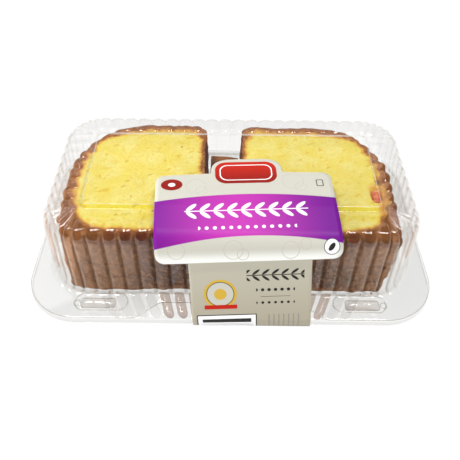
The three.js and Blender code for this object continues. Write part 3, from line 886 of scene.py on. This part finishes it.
def crust_push(loaf, spots):
    """How far the crust stands out: uneven lumps, and on the crown crags with notches between them."""
    push = layered_noise(spots, LUMPS, loaf.seed)
    phase = spots[:, 1] / FLUTE_PITCH + CRAGS.sway * noise_at(spots, CRAGS.scale, loaf.seed + 6)
    crags = np.abs(np.sin(math.pi * phase)) - CRAGS.middle
    return np.minimum(push - LUMP_SINK, LUMP_MOST) + CRAGS.height * crown_share(loaf, spots) * crags


def pore_shares(points, seed):
    """1 in the crumb's open pores, which run slantwise, and 0 between them."""
    cos, sin = math.cos(PORE_TURN), math.sin(PORE_TURN)
    along = points[:, 0] * cos + points[:, 1] * sin
    across = points[:, 1] * cos - points[:, 0] * sin
    spots = with_z(np.column_stack([along, across]) * PORE_SCALE, 0)
    return smoothstep(noise_at(spots, 1.0, seed), *PORE_EDGE)


def fruit_hollow(points):
    """How deep the cut face sinks round the candied fruit."""
    low, high = box_mm("candied_fruit")
    middle, half = (low + high)[:2] / 2, (high - low)[:2] / 2
    away = np.linalg.norm((points[:, :2] - middle) / half, axis=1)
    return FRUIT_HOLLOW.depth * smoothstep(-away, -FRUIT_HOLLOW.rim, -FRUIT_HOLLOW.full)


def slice_wall(loaf, span, stack, is_top, detail):
    """Rings of a slice's crust from its foot up, and how deep in the crust each point lies."""
    low, high = span
    rings, depths = [], []
    for share in np.linspace(0, 1, detail.wall):
        z = from_to(low, high, share)
        section = loaf_section(loaf, (z - stack[0]) / (stack[1] - stack[0]), detail.around)
        push = crust_push(loaf, with_z(section, z))
        if is_top:
            turned = np.clip((share - TOP_ROUND.start) / (1 - TOP_ROUND.start), 0, 1)
            whole = top_rounding(loaf, section)
            rounding = whole * (1 - math.sqrt(1 - turned ** 2))
            depths.append(np.minimum(rounding - whole, 0) - (high - z) * SIDE_DEPTH)
            push -= rounding
        else:
            depths.append(np.full(detail.around, DEEP_CRUST))
            push -= SEAM_DIP.depth * abs(2 * share - 1) ** SEAM_DIP.power
        rings.append(with_z(section + outward(section) * push[:, None], z))
    return rings, depths


def slice_cap(loaf, rim, high, is_top, detail):
    """Points of a slice's cut face from its rim inwards, their depth in the crust, and their pores."""
    middle = np.append(rim[:, :2].mean(0), high)
    shares = (np.arange(1, detail.cap) / detail.cap) ** CAP_PACE
    points = np.concatenate([from_to(rim, middle, share) for share in shares])
    at_back = smoothstep(points[:, 1] - loaf.back, -BACK_CRUST[0], -BACK_CRUST[1])
    broad = 1 + BROAD_CRUST.crown * crown_share(loaf, points) + BROAD_CRUST.back * at_back
    depth = edge_distance(points, rim) / broad - BROAD_CRUST.corner * corner_share(loaf, points)
    pores = np.zeros(len(points))
    if is_top:
        pores = pore_shares(points, loaf.seed + 5)
        lift = layered_noise(points, CUT_LIFTS, loaf.seed + 3)
        points[:, 2] += np.minimum(lift, CUT_MOST) - CUT_SINK - PORE_DEPTH * pores - fruit_hollow(points)
    return points, depth, pores


def slice_piece(name, loaf, span, stack, is_top, material):
    detail = TOP_DETAIL if is_top else LOWER_DETAIL
    rings, depths = slice_wall(loaf, span, stack, is_top, detail)
    rim = rings[-1]
    cap, cap_depth, pores = slice_cap(loaf, rim, span[1], is_top, detail)
    middle = np.append(rim[:, :2].mean(0), span[0])
    floor = [from_to(rings[0], middle, share) for share in FLOOR_RINGS]
    points, faces = closed_loft(floor + rings + np.split(cap, detail.cap - 1))
    piece = add_piece(name, points, faces, material, "crumb", [name.replace("cake_", "")])
    floor_depth = edge_distance(np.concatenate(floor), rim)
    give_values(piece, "edge", [floor_depth, *depths, cap_depth])
    give_values(piece, "pore", [np.zeros(len(points) - len(pores)), pores])


def slice_pieces(material):
    for word, loaf in (("left", LEFT_LOAF), ("right", RIGHT_LOAF)):
        boxes = [box_mm(f"slice_{word}_{number}") for number in range(1, SLICES + 1)]
        stack = (boxes[0][0][2], boxes[-1][1][2])
        bottom = stack[0]
        for number, (_, high) in enumerate(boxes, 1):
            name = f"cake_slice_{word}_{number}"
            slice_piece(name, loaf, (bottom, high[2]), stack, number == SLICES, material)
            bottom = high[2] + SEAM


# The loaf's end, the candied fruit and the loose crumbs
BLOB = Sizes(relief=0.5, scale=0.25, flat=0.86)
LOAF_END = Sizes(left=1.4, right=2.0, up=1.0, slant=-0.09)
CRUMB_NOISE = Sizes(height=0.35, scale=1.4)
# Middle and half sizes of the crumbs that lie on the base
CRUMBS = [
    ((-84.6, -47.4, 1.5), (1.2, 1.0, 0.9)),
    ((-80.0, -51.2, 1.0), (0.7, 0.6, 0.45)),
    ((-71.0, -52.0, 1.1), (0.8, 0.6, 0.55)),
    ((-66.5, -51.6, 1.0), (0.6, 0.7, 0.45)),
    ((83.0, -50.4, 1.1), (0.8, 0.7, 0.55)),
    ((76.5, -51.6, 1.0), (0.6, 0.6, 0.45)),
    ((-5.0, 40.0, 1.2), (0.9, 0.8, 0.6)),
    ((-3.0, -30.0, 1.1), (0.7, 0.8, 0.55)),
]


def blob(name, low, high, seed, material, slot, replaced, squareness, rows, slant=0.0):
    """A rounded block with uneven sides that fills a box."""
    middle, half = (low + high) / 2, (high - low) / 2
    rings = []
    for ball in ball_rings(rows, 2 * rows):
        square = np.sign(ball) * np.abs(ball) ** (1 - squareness)
        square /= np.abs(square).max(1).clip(BLOB.flat)[:, None]
        spots = middle + square * (half - BLOB.relief)
        rings.append(spots + ball * BLOB.relief * noise_at(spots, BLOB.scale, seed)[:, None])
    points, faces = closed_loft(rings)
    points[:, 2] += slant * (points[:, 0] - middle[0])
    add_piece(name, points, faces, material, slot, replaced)


def loaf_end_piece(material):
    low, high = box_mm("loaf_end")
    low, high = low - [LOAF_END.left, 0, 0], high + [LOAF_END.right, 0, LOAF_END.up]
    blob("cake_loaf_end", low, high, 21, material, "crust", ["loaf_end"], 0.72, 40, LOAF_END.slant)


def fruit_piece(material):
    blob("fruit_piece", *box_mm("candied_fruit"), 5, material, "fruit", ["candied_fruit"], 0.08, 24)


def crumb_pieces(material):
    for number, (middle, size) in enumerate(CRUMBS, 1):
        rings = []
        for ball in ball_rings(7, 12):
            push = 1 + CRUMB_NOISE.height * noise_at(ball, CRUMB_NOISE.scale, 30 + number)
            rings.append(np.array(middle) + ball * push[:, None] * np.array(size))
        add_piece(f"loose_crumb_{number}", *closed_loft(rings), material, "crumb")


# The printed card label
LABEL = Sizes(
    middle=6.5, tilt=math.radians(2.8), back=-6.2, lead=40.0, lift=0.3, thick=0.5, corner=5.0,
    tab_rise=12.6, tab_half=20.5, tab_top=0.45, tab_middle=2.1, wide_half=49.4, wide_length=57.0,
    strip_half=32.8, strip_middle=0.6, foot_height=0.5, foot_reach=72.7, foot_crease=0.6, foot_radius=3.0,
    crease_reach=0.5, crease_radius=8.0, bend_reach=51.0, bend_height=50.6, bend_radius=10.0,
    flare=1.3, flare_start=18, flare_past=4, flare_below=7, flare_share=0.8, columns=44, row=0.9,
    tab_rows=14, tab_power=3, corner_rows=9, bend_steps=24, strip_gap=0.4, foot_gap=0.5, probe=0.3,
)


def label_line():
    """The line the label follows, as seen from the side: closely spaced (y, z) points."""
    corners = [
        (LABEL.back + LABEL.lead, PANEL_TOP + LABEL.lift, 0),
        (-CORNER_Y - LABEL.crease_reach, PANEL_TOP + LABEL.lift, LABEL.crease_radius),
        (-LABEL.bend_reach, LABEL.bend_height, LABEL.bend_radius),
        (-LABEL.foot_reach, TRAY_TOP + LABEL.foot_crease, LABEL.foot_radius),
        (-LABEL.foot_reach, 0, 0),
    ]
    places = np.array(corners)[:, :2]
    line = [places[0]]
    for before, point, after, (_, _, radius) in zip(places, places[1:], places[2:], corners[1:]):
        back = (before - point) / np.linalg.norm(before - point)
        on = (after - point) / np.linalg.norm(after - point)
        reach = radius / math.tan(math.acos(np.clip(back @ on, -1, 1)) / 2)
        start, end = point + back * reach, point + on * reach
        for share in np.linspace(0, 1, LABEL.bend_steps):
            line.append((1 - share) ** 2 * start + 2 * share * (1 - share) * point + share ** 2 * end)
    return np.array(line + [places[-1]])


LABEL_LINE = label_line()
LABEL_LENGTHS = run_lengths(LABEL_LINE)


def on_label(across, along, lift):
    """Points of the flat label laid onto its line."""
    cos, sin = math.cos(LABEL.tilt), math.sin(LABEL.tilt)
    length = LABEL.lead + along * cos - across * sin
    shifts = (-LABEL.probe, 0, LABEL.probe)
    before, place, after = (along_line(LABEL_LINE, LABEL_LENGTHS, length + shift) for shift in shifts)
    way = after - before
    way /= np.linalg.norm(way, axis=1)[:, None]
    place = place + np.column_stack([way[:, 1], -way[:, 0]]) * lift
    return np.column_stack([LABEL.middle + across * cos + along * sin, place[:, 0] + MIDDLE_Y, place[:, 1]])


def label_rows():
    """Distance along, half width and middle of each row of the flat label."""
    rows = []
    for turn in np.linspace(0, QUARTER, LABEL.tab_rows):
        up = math.cos(turn)
        half = LABEL.tab_half * from_to(LABEL.tab_top, 1, math.sqrt(1 - up ** LABEL.tab_power))
        rows.append((-1 - (LABEL.tab_rise - 1) * up, half, LABEL.tab_middle))
    corner, wide, length = LABEL.corner, LABEL.wide_half, LABEL.wide_length
    turns = np.linspace(0, QUARTER, LABEL.corner_rows)
    rounding = [(corner * (1 - math.cos(turn)), wide - corner * (1 - math.sin(turn))) for turn in turns]
    rows += [(along, half, 0) for along, half in rounding]
    rows += [(along, wide, 0) for along in np.arange(corner + 1, length - corner, LABEL.row)]
    rows += [(length - along, half, 0) for along, half in rounding[::-1]]
    foot = (LABEL_LENGTHS[-1] - LABEL.lead - LABEL.foot_height) / math.cos(LABEL.tilt)
    foot += (LABEL.strip_middle - LABEL.strip_half) * math.tan(LABEL.tilt)
    strip = np.arange(length + LABEL.strip_gap, foot - LABEL.foot_gap, LABEL.row)
    for along in (*strip, foot):
        rows.append((along, LABEL.strip_half, LABEL.strip_middle))
    return rows


def flare_at(along):
    """How far the wide panel's lower part stands off the line, down to the fold above the strip."""
    end = LABEL.wide_length
    if along <= end:
        return LABEL.flare * smoothstep(along, end - LABEL.flare_start, end + LABEL.flare_past)
    return LABEL.flare * LABEL.flare_share * smoothstep(-along, -end - LABEL.flare_below, -end)


def label_piece(material):
    columns = LABEL.columns
    sides = np.linspace(-1, 1, columns)
    rows = label_rows()
    last = len(rows) - 1
    points, across_all, along_all = [], [], []
    for lift in (LABEL.thick, 0.0):
        for index, (along, half, middle) in enumerate(rows):
            across = middle + half * sides
            lengths = np.full(columns, along)
            if index == last:
                lengths += (across - middle + half) * math.tan(LABEL.tilt)
            points.append(on_label(across, lengths, lift + flare_at(along)))
            across_all.append(across)
            along_all.append(lengths)
    grid = np.arange(len(rows) * columns).reshape(len(rows), columns)
    faces = []
    for here, below in zip(grid.tolist(), grid[1:].tolist()):
        for i in range(columns - 1):
            quad = (here[i], below[i], below[i + 1], here[i + 1])
            faces += [quad, tuple(grid.size + index for index in quad[::-1])]
    rim = np.concatenate([grid[0], grid[1:, -1], grid[-1, -2::-1], grid[-2:0:-1, 0]]).tolist()
    for here, after in zip(rim, rim[1:] + rim[:1]):
        faces.append((here, after, grid.size + after, grid.size + here))
    piece = add_piece("card_label", np.concatenate(points), faces, material, "card", ["label"])
    give_values(piece, "across", across_all)
    give_values(piece, "along", along_all)


CARD_CREAM = (0.555, 0.545, 0.475)
CARD_FOLD_HIGHLIGHT = (0.86, 0.86, 0.83)
CARD_FRONT_SHADE = (0.49, 0.465, 0.375)
CARD_FOOT_SHADE_AND_FIBRE = (0.38, 0.335, 0.245)
CARD_MARK = (0.50, 0.48, 0.405)
BAND_ENDS = (0.150, 0.008, 0.245)
BAND_MIDDLE = (0.48, 0.035, 0.39)
PRINT_WHITE = (0.93, 0.93, 0.93)
PRINT_GREY = (0.35, 0.35, 0.35)
PRINT_BROWN = (0.30, 0.28, 0.24)
PRINT_DARK = (0.025, 0.022, 0.02)
PRINT_RED = (0.50, 0.018, 0.008)
PRINT_DEEP_RED = (0.26, 0.010, 0.006)
PRINT_GOLD = (0.62, 0.40, 0.05)
LEAF_LEAN = math.radians(38)
STEM_HALF = 0.28
BAND = Sizes(half=50.0, upper=16.0, upper_bow=4.5, lower=43.5, lower_bow=5.5, glow_shift=0.1, glow_reach=1.12)
# Middle and radius of the faint rings on the card
FAINT_RINGS = [
    ((-27.0, 9.0), 5.5), ((-24.0, 12.5), 3.2), ((27.5, 6.5), 6.0), ((31.5, 11.0), 3.0), ((-38.0, 50.0), 4.5),
    ((-8.0, 50.5), 5.0), ((-3.0, 53.0), 3.0), ((22.0, 51.5), 4.5), ((30.0, 48.5), 2.8),
]


class Print(Graph):
    """Paints simple shapes one over another on the flat label, in its own millimetres."""

    def __init__(self, name, paper):
        super().__init__(name)
        self.across = self.attribute("across")
        self.along = self.attribute("along")
        self.colour = paper

    def paint(self, mask, colour):
        self.colour = self.mix(mask, self.colour, colour)

    def soft(self, distance, blur=0.12):
        """1 where a distance is under 0, through a narrow soft edge."""
        return self.step(distance, blur, -blur)

    def within(self, value, limit):
        return self.soft(self.minus(self.size(value), limit))

    def turned(self, x, y, turn):
        cos, sin = math.cos(turn), math.sin(turn)
        first = self.plus(self.times(x, cos), self.times(y, sin))
        return first, self.minus(self.times(y, cos), self.times(x, sin))

    def local(self, middle, turn=0.0):
        x = self.minus(self.across, middle[0])
        y = self.minus(self.along, middle[1])
        return self.turned(x, y, turn) if turn else (x, y)

    def length(self, x, y):
        return self.math("SQRT", self.plus(self.times(x, x), self.times(y, y)))

    def ellipse_distance(self, x, y, radii):
        length = self.length(self.math("DIVIDE", x, radii[0]), self.math("DIVIDE", y, radii[1]))
        return self.times(self.minus(length, 1.0), min(radii))

    def box_distance(self, x, y, half, radius):
        over_x, over_y = (self.minus(self.size(run), end - radius) for run, end in zip((x, y), half))
        outside = self.length(self.larger(over_x, 0.0), self.larger(over_y, 0.0))
        inside = self.math("MINIMUM", self.larger(over_x, over_y), 0.0)
        return self.minus(self.plus(outside, inside), radius)

    def ellipse(self, middle, radii, colour, turn=0.0):
        self.paint(self.soft(self.ellipse_distance(*self.local(middle, turn), radii)), colour)

    def discs(self, middle, *layers):
        for radii, colour in layers:
            self.ellipse(middle, radii, colour)

    def boxes(self, middle, *layers):
        for half, radius, colour in layers:
            self.paint(self.soft(self.box_distance(*self.local(middle), half, radius)), colour)

    def ring(self, middle, radius, thick, colour):
        away = self.ellipse_distance(*self.local(middle), (radius, radius))
        self.paint(self.within(away, thick / 2), colour)

    def leaves(self, middle, half_length, spacing, leaf, rise, colour):
        """A row of paired leaves along a stem."""
        x, y = self.local(middle)
        blade = self.turned(self.cell(x, spacing), self.minus(self.size(y), rise), LEAF_LEAN)
        mask = self.larger(self.soft(self.ellipse_distance(*blade, leaf)), self.within(y, STEM_HALF))
        self.paint(self.times(mask, self.within(x, half_length)), colour)

    def dots(self, middle, half_length, spacing, radius, colour):
        x, y = self.local(middle)
        mask = self.soft(self.ellipse_distance(self.cell(x, spacing), y, (radius, radius)))
        self.paint(self.times(mask, self.within(x, half_length)), colour)

    def bars(self, middle, half, spacing, thick, colour, upright=False):
        """A block of thin even bars."""
        x, y = self.local(middle)
        away = self.size(self.cell(x if upright else y, spacing))
        mask = self.soft(self.minus(away, thick / 2), 0.08)
        self.paint(self.times(mask, self.soft(self.box_distance(x, y, half, 0.1))), colour)


def paint_card(paper, fibre):
    """Bare card with a painted highlight at its fold and painted shade darkening it down its front, with
    faint rings and fibres.
    """
    fold = LABEL.wide_length
    # Painted highlight: paler card at the fold
    paper.paint(paper.step(paper.along, 50.0, 56.5), CARD_FOLD_HIGHLIGHT)
    for middle, radius in FAINT_RINGS:
        paper.ring(middle, radius, 0.35, CARD_MARK)
    # Painted shade: darker card down the front strip, and darker still toward its foot
    paper.paint(paper.soft(paper.minus(fold, paper.along)), CARD_FRONT_SHADE)
    paper.paint(paper.times(paper.step(paper.along, fold, 112.0), 0.9), CARD_FOOT_SHADE_AND_FIBRE)
    paper.paint(paper.times(fibre, 0.08), CARD_FOOT_SHADE_AND_FIBRE)


def paint_band(paper):
    """A band with bowed edges that glows in its middle, with a row of leaves and one of dots."""
    across = paper.times(paper.across, 1 / BAND.half)
    bow = paper.times(across, across)
    past = paper.soft(paper.minus(paper.scaled(bow, BAND.upper_bow, BAND.upper), paper.along))
    before = paper.soft(paper.minus(paper.along, paper.scaled(bow, BAND.lower_bow, BAND.lower)))
    glow = paper.step(paper.size(paper.plus(across, BAND.glow_shift)), BAND.glow_reach, 0.0)
    paper.paint(paper.times(past, before), paper.mix(glow, BAND_ENDS, BAND_MIDDLE))
    paper.leaves((0, 27.5), 33.3, 7.4, (3.4, 1.15), 2.5, PRINT_WHITE)
    paper.dots((0, 38.5), 26.0, 4.3, 1.0, PRINT_WHITE)


def paint_top_marks(paper):
    """The tab's rounded field and the small marks in the wide panel's corners."""
    red = paper.mix(paper.step(paper.along, -9.0, 8.0), PRINT_RED, PRINT_DEEP_RED)
    tab_field = ((17.6, 8.8), 6.5, red)
    paper.boxes((1.5, -1.4), tab_field, ((15.0, 6.4), 4.6, PRINT_WHITE), ((14.4, 5.8), 4.2, red))
    paper.discs((-40.5, 7.5), ((6.0, 4.4), PRINT_DEEP_RED), ((2.0, 1.5), PRINT_WHITE))
    seal = (43.5, 50.5)
    paper.discs(seal, ((4.2, 4.2), PRINT_DARK), ((3.8, 3.8), PRINT_WHITE))
    paper.ellipse(seal, (1.3, 2.4), PRINT_DARK, math.radians(40))
    paper.boxes((42.5, 8.5), ((2.0, 2.6), 0.6, PRINT_DARK), ((1.5, 2.1), 0.4, CARD_CREAM))


def paint_front_marks(paper):
    """Discs, leaves, dots and bars on the strip down the front."""
    medal = (-16.0, 77.0)
    paper.discs(medal, ((9.0, 9.0), PRINT_GOLD), ((7.6, 7.6), PRINT_DARK))
    paper.discs(medal, ((7.2, 7.2), CARD_CREAM), ((3.4, 3.4), PRINT_GOLD))
    paper.boxes((-16.0, 85.0), ((9.0, 1.3), 0.5, PRINT_RED))
    paper.leaves((14.0, 66.0), 15.5, 5.2, (2.5, 0.75), 1.9, PRINT_DARK)
    paper.dots((14.0, 75.0), 10.5, 3.5, 0.95, PRINT_DARK)
    paper.boxes((14.0, 79.2), ((8.0, 0.12), 0.1, PRINT_DARK))
    paper.dots((14.0, 83.0), 10.5, 3.5, 0.8, PRINT_DARK)
    paper.boxes((-13.0, 101.5), ((16.6, 11.6), 0.4, PRINT_DARK), ((16.0, 11.0), 0.3, PRINT_WHITE))
    paper.boxes((-13.0, 94.0), ((13.5, 1.3), 0.2, PRINT_DARK))
    paper.bars((-13.0, 98.0), (14.5, 1.9), 1.3, 0.35, PRINT_GREY)
    paper.boxes((-13.0, 102.5), ((15.0, 0.8), 0.1, PRINT_DARK))
    paper.bars((-13.0, 107.0), (14.5, 3.0), 1.3, 0.35, PRINT_GREY)
    paper.bars((18.5, 100.5), (9.5, 10.0), 2.7, 0.75, PRINT_BROWN, upright=True)


def label_material():
    paper = Print("printed_card", CARD_CREAM)
    fibre = paper.noise(paper.place(), 900.0)
    paint_card(paper, fibre)
    paint_band(paper)
    paint_top_marks(paper)
    paint_front_marks(paper)
    return paper.solid(
        base_color=paper.colour,
        roughness=0.45,
        specular_ior_level=0.14,
        coat_weight=0.03,
        coat_roughness=0.2,
        normal=paper.bump(fibre, 0.00008),
    )


# Stage, light and camera
FLOOR = Sizes(half=4000, level=-0.08, grey=(0.8, 0.8, 0.8), glow=1.08, glow_share=0.9)
WORLD_STRENGTH = 0.11
LIGHT_TARGET = (0, 0, 0.03)
# Place and size in metres, power in watts, and the kind of surface that doesn't see the light
LIGHTS = {
    "softbox_left": ((-0.30, 0.10, 0.85), (0.22, 0.22), 3.7, "glossy"),
    "sparkle_left": ((-0.297, 0.099, 0.8415), (0.22, 0.22), 2.5, "diffuse"),
    "softbox_right": ((0.26, 0.10, 0.88), (0.22, 0.22), 3.15, "glossy"),
    "sparkle_right": ((0.2574, 0.099, 0.8712), (0.22, 0.22), 2.3, "diffuse"),
    "back_panel": ((-0.10, 0.95, 1.06), (1.5, 0.65), 2.0, None),
    "low_back_panel": ((0, 1.2, 0.36), (2.4, 0.66), 1.6, "diffuse"),
    "sparkle_middle": ((0, 0.10, 0.86), (0.16, 0.16), 1.7, "diffuse"),
    "key_left_back": ((-0.95, 0.35, 0.55), (0.5, 0.5), 5.0, "glossy"),
    "fill_left": ((-0.42, -0.22, 0.14), (0.2, 0.2), 1.9, "glossy"),
    "fill_right": ((0.42, -0.22, 0.14), (0.2, 0.2), 1.3, "glossy"),
}
CAMERA_PLACE = (-2.2, -230.2, 262.5)
CAMERA_PITCH = math.radians(48.87)
CAMERA_YAW = math.radians(0.41)
CAMERA_ROLL = math.radians(0.94)
FOCAL_PIXELS = 535.0
IMAGE_PIXELS = 460.0
SENSOR = 36.0


def add_floor():
    graph = Graph("white_table")
    white = graph.node("ShaderNodeBsdfDiffuse", {"Color": FLOOR.grey})
    glow = graph.node("ShaderNodeEmission", {"Color": (1, 1, 1), "Strength": FLOOR.glow})
    material = graph.blended(FLOOR.glow_share, white, glow)
    corners = [(x * FLOOR.half, y * FLOOR.half, FLOOR.level) for x, y in ((-1, -1), (1, -1), (1, 1), (-1, 1))]
    make_object("table", corners, [(0, 1, 2, 3)], material)


def add_light(name, place, size, power, unseen_by):
    light = bpy.data.lights.new(name, "AREA")
    light.shape = "RECTANGLE"
    light.size, light.size_y = size
    light.energy = power
    lamp = bpy.data.objects.new(name, light)
    bpy.context.scene.collection.objects.link(lamp)
    lamp.location = place
    lamp.rotation_euler = (Vector(LIGHT_TARGET) - Vector(place)).to_track_quat("-Z", "Y").to_euler()
    lamp.visible_glossy = unseen_by != "glossy"
    lamp.visible_diffuse = unseen_by != "diffuse"


def light_scene():
    scene = bpy.context.scene
    world = bpy.data.worlds.new("studio")
    scene.world = world
    world.use_nodes = True
    background = world.node_tree.nodes["Background"]
    background.inputs["Color"].default_value = (1, 1, 1, 1)
    background.inputs["Strength"].default_value = WORLD_STRENGTH
    for name, settings in LIGHTS.items():
        add_light(name, *settings)
    scene.view_settings.view_transform = "Standard"
    scene.view_settings.look = "None"
    scene.cycles.max_bounces = 24
    scene.cycles.transparent_max_bounces = 64
    scene.cycles.glossy_bounces = 8
    scene.cycles.diffuse_bounces = 4
    scene.cycles.caustics_reflective = False
    scene.cycles.caustics_refractive = False


def add_camera():
    camera = bpy.data.cameras.new("camera")
    camera.sensor_width = SENSOR
    camera.lens = FOCAL_PIXELS / IMAGE_PIXELS * SENSOR
    camera.clip_start = 0.01
    holder = bpy.data.objects.new("camera", camera)
    bpy.context.scene.collection.objects.link(holder)
    sin, cos = math.sin(CAMERA_PITCH), math.cos(CAMERA_PITCH)
    look = Matrix(((1, 0, 0), (0, -sin, -cos), (0, cos, -sin)))
    world_to_view = Matrix.Rotation(CAMERA_ROLL, 3, "Z") @ look @ Matrix.Rotation(CAMERA_YAW, 3, "Z")
    flip = Matrix(((1, 0, 0), (0, -1, 0), (0, 0, -1)))
    turned = (flip @ world_to_view).transposed()
    holder.matrix_world = Matrix.Translation(Vector(CAMERA_PLACE) * MM) @ turned.to_4x4()
    bpy.context.scene.camera = holder


# The scene
add_camera()
light_scene()
add_floor()

# Ribs at the sides and the line round the panel are white: painted highlight
highlight_ribs = highlight_plastic("highlight_ribs", 0.9)
# Ribs in the middle carry a painted shadow
shadowed_ribs = clear_plastic("clear_ribs_near_cake", RIB_SHADOW_TINT, 0.02, 0.0)
cut_edge = clear_plastic("cut_sheet_edge", EDGE_TINT, 0.05, 0.0)
fluted_sheet = clear_plastic("clear_fluted_sheet", SHEET_TINT, fluted=True)

tray_piece(clear_plastic("clear_tray_sheet", TRAY_TINT_AND_SHADE, low=TRAY_FOOT_SHADOW))
rib_sheets = {"left": highlight_ribs, "middle": shadowed_ribs, "right": highlight_ribs}
for (word, sheet), lowest, highest in zip(rib_sheets.items(), RIB_BREAKS, RIB_BREAKS[1:]):
    rib_piece(f"flange_ribs_{word}", lowest, highest, sheet)
slice_pieces(cake_material())
loaf_end_piece(crust_material("loaf_end_crust", CRUST_BROWN, CRUST_WARM, CRUST_TOP))
fruit_piece(fruit_material())
lid_pieces(fluted_sheet, cut_edge, highlight_plastic("panel_line_highlight", 0.62))
latch_pieces(clear_plastic("clear_latch", LATCH_TINT), cut_edge)
crumb_pieces(crust_material("crumb_bits", CRUST_GOLD, CRUST_GOLD, CRUMB_WARM))
label_piece(label_material())
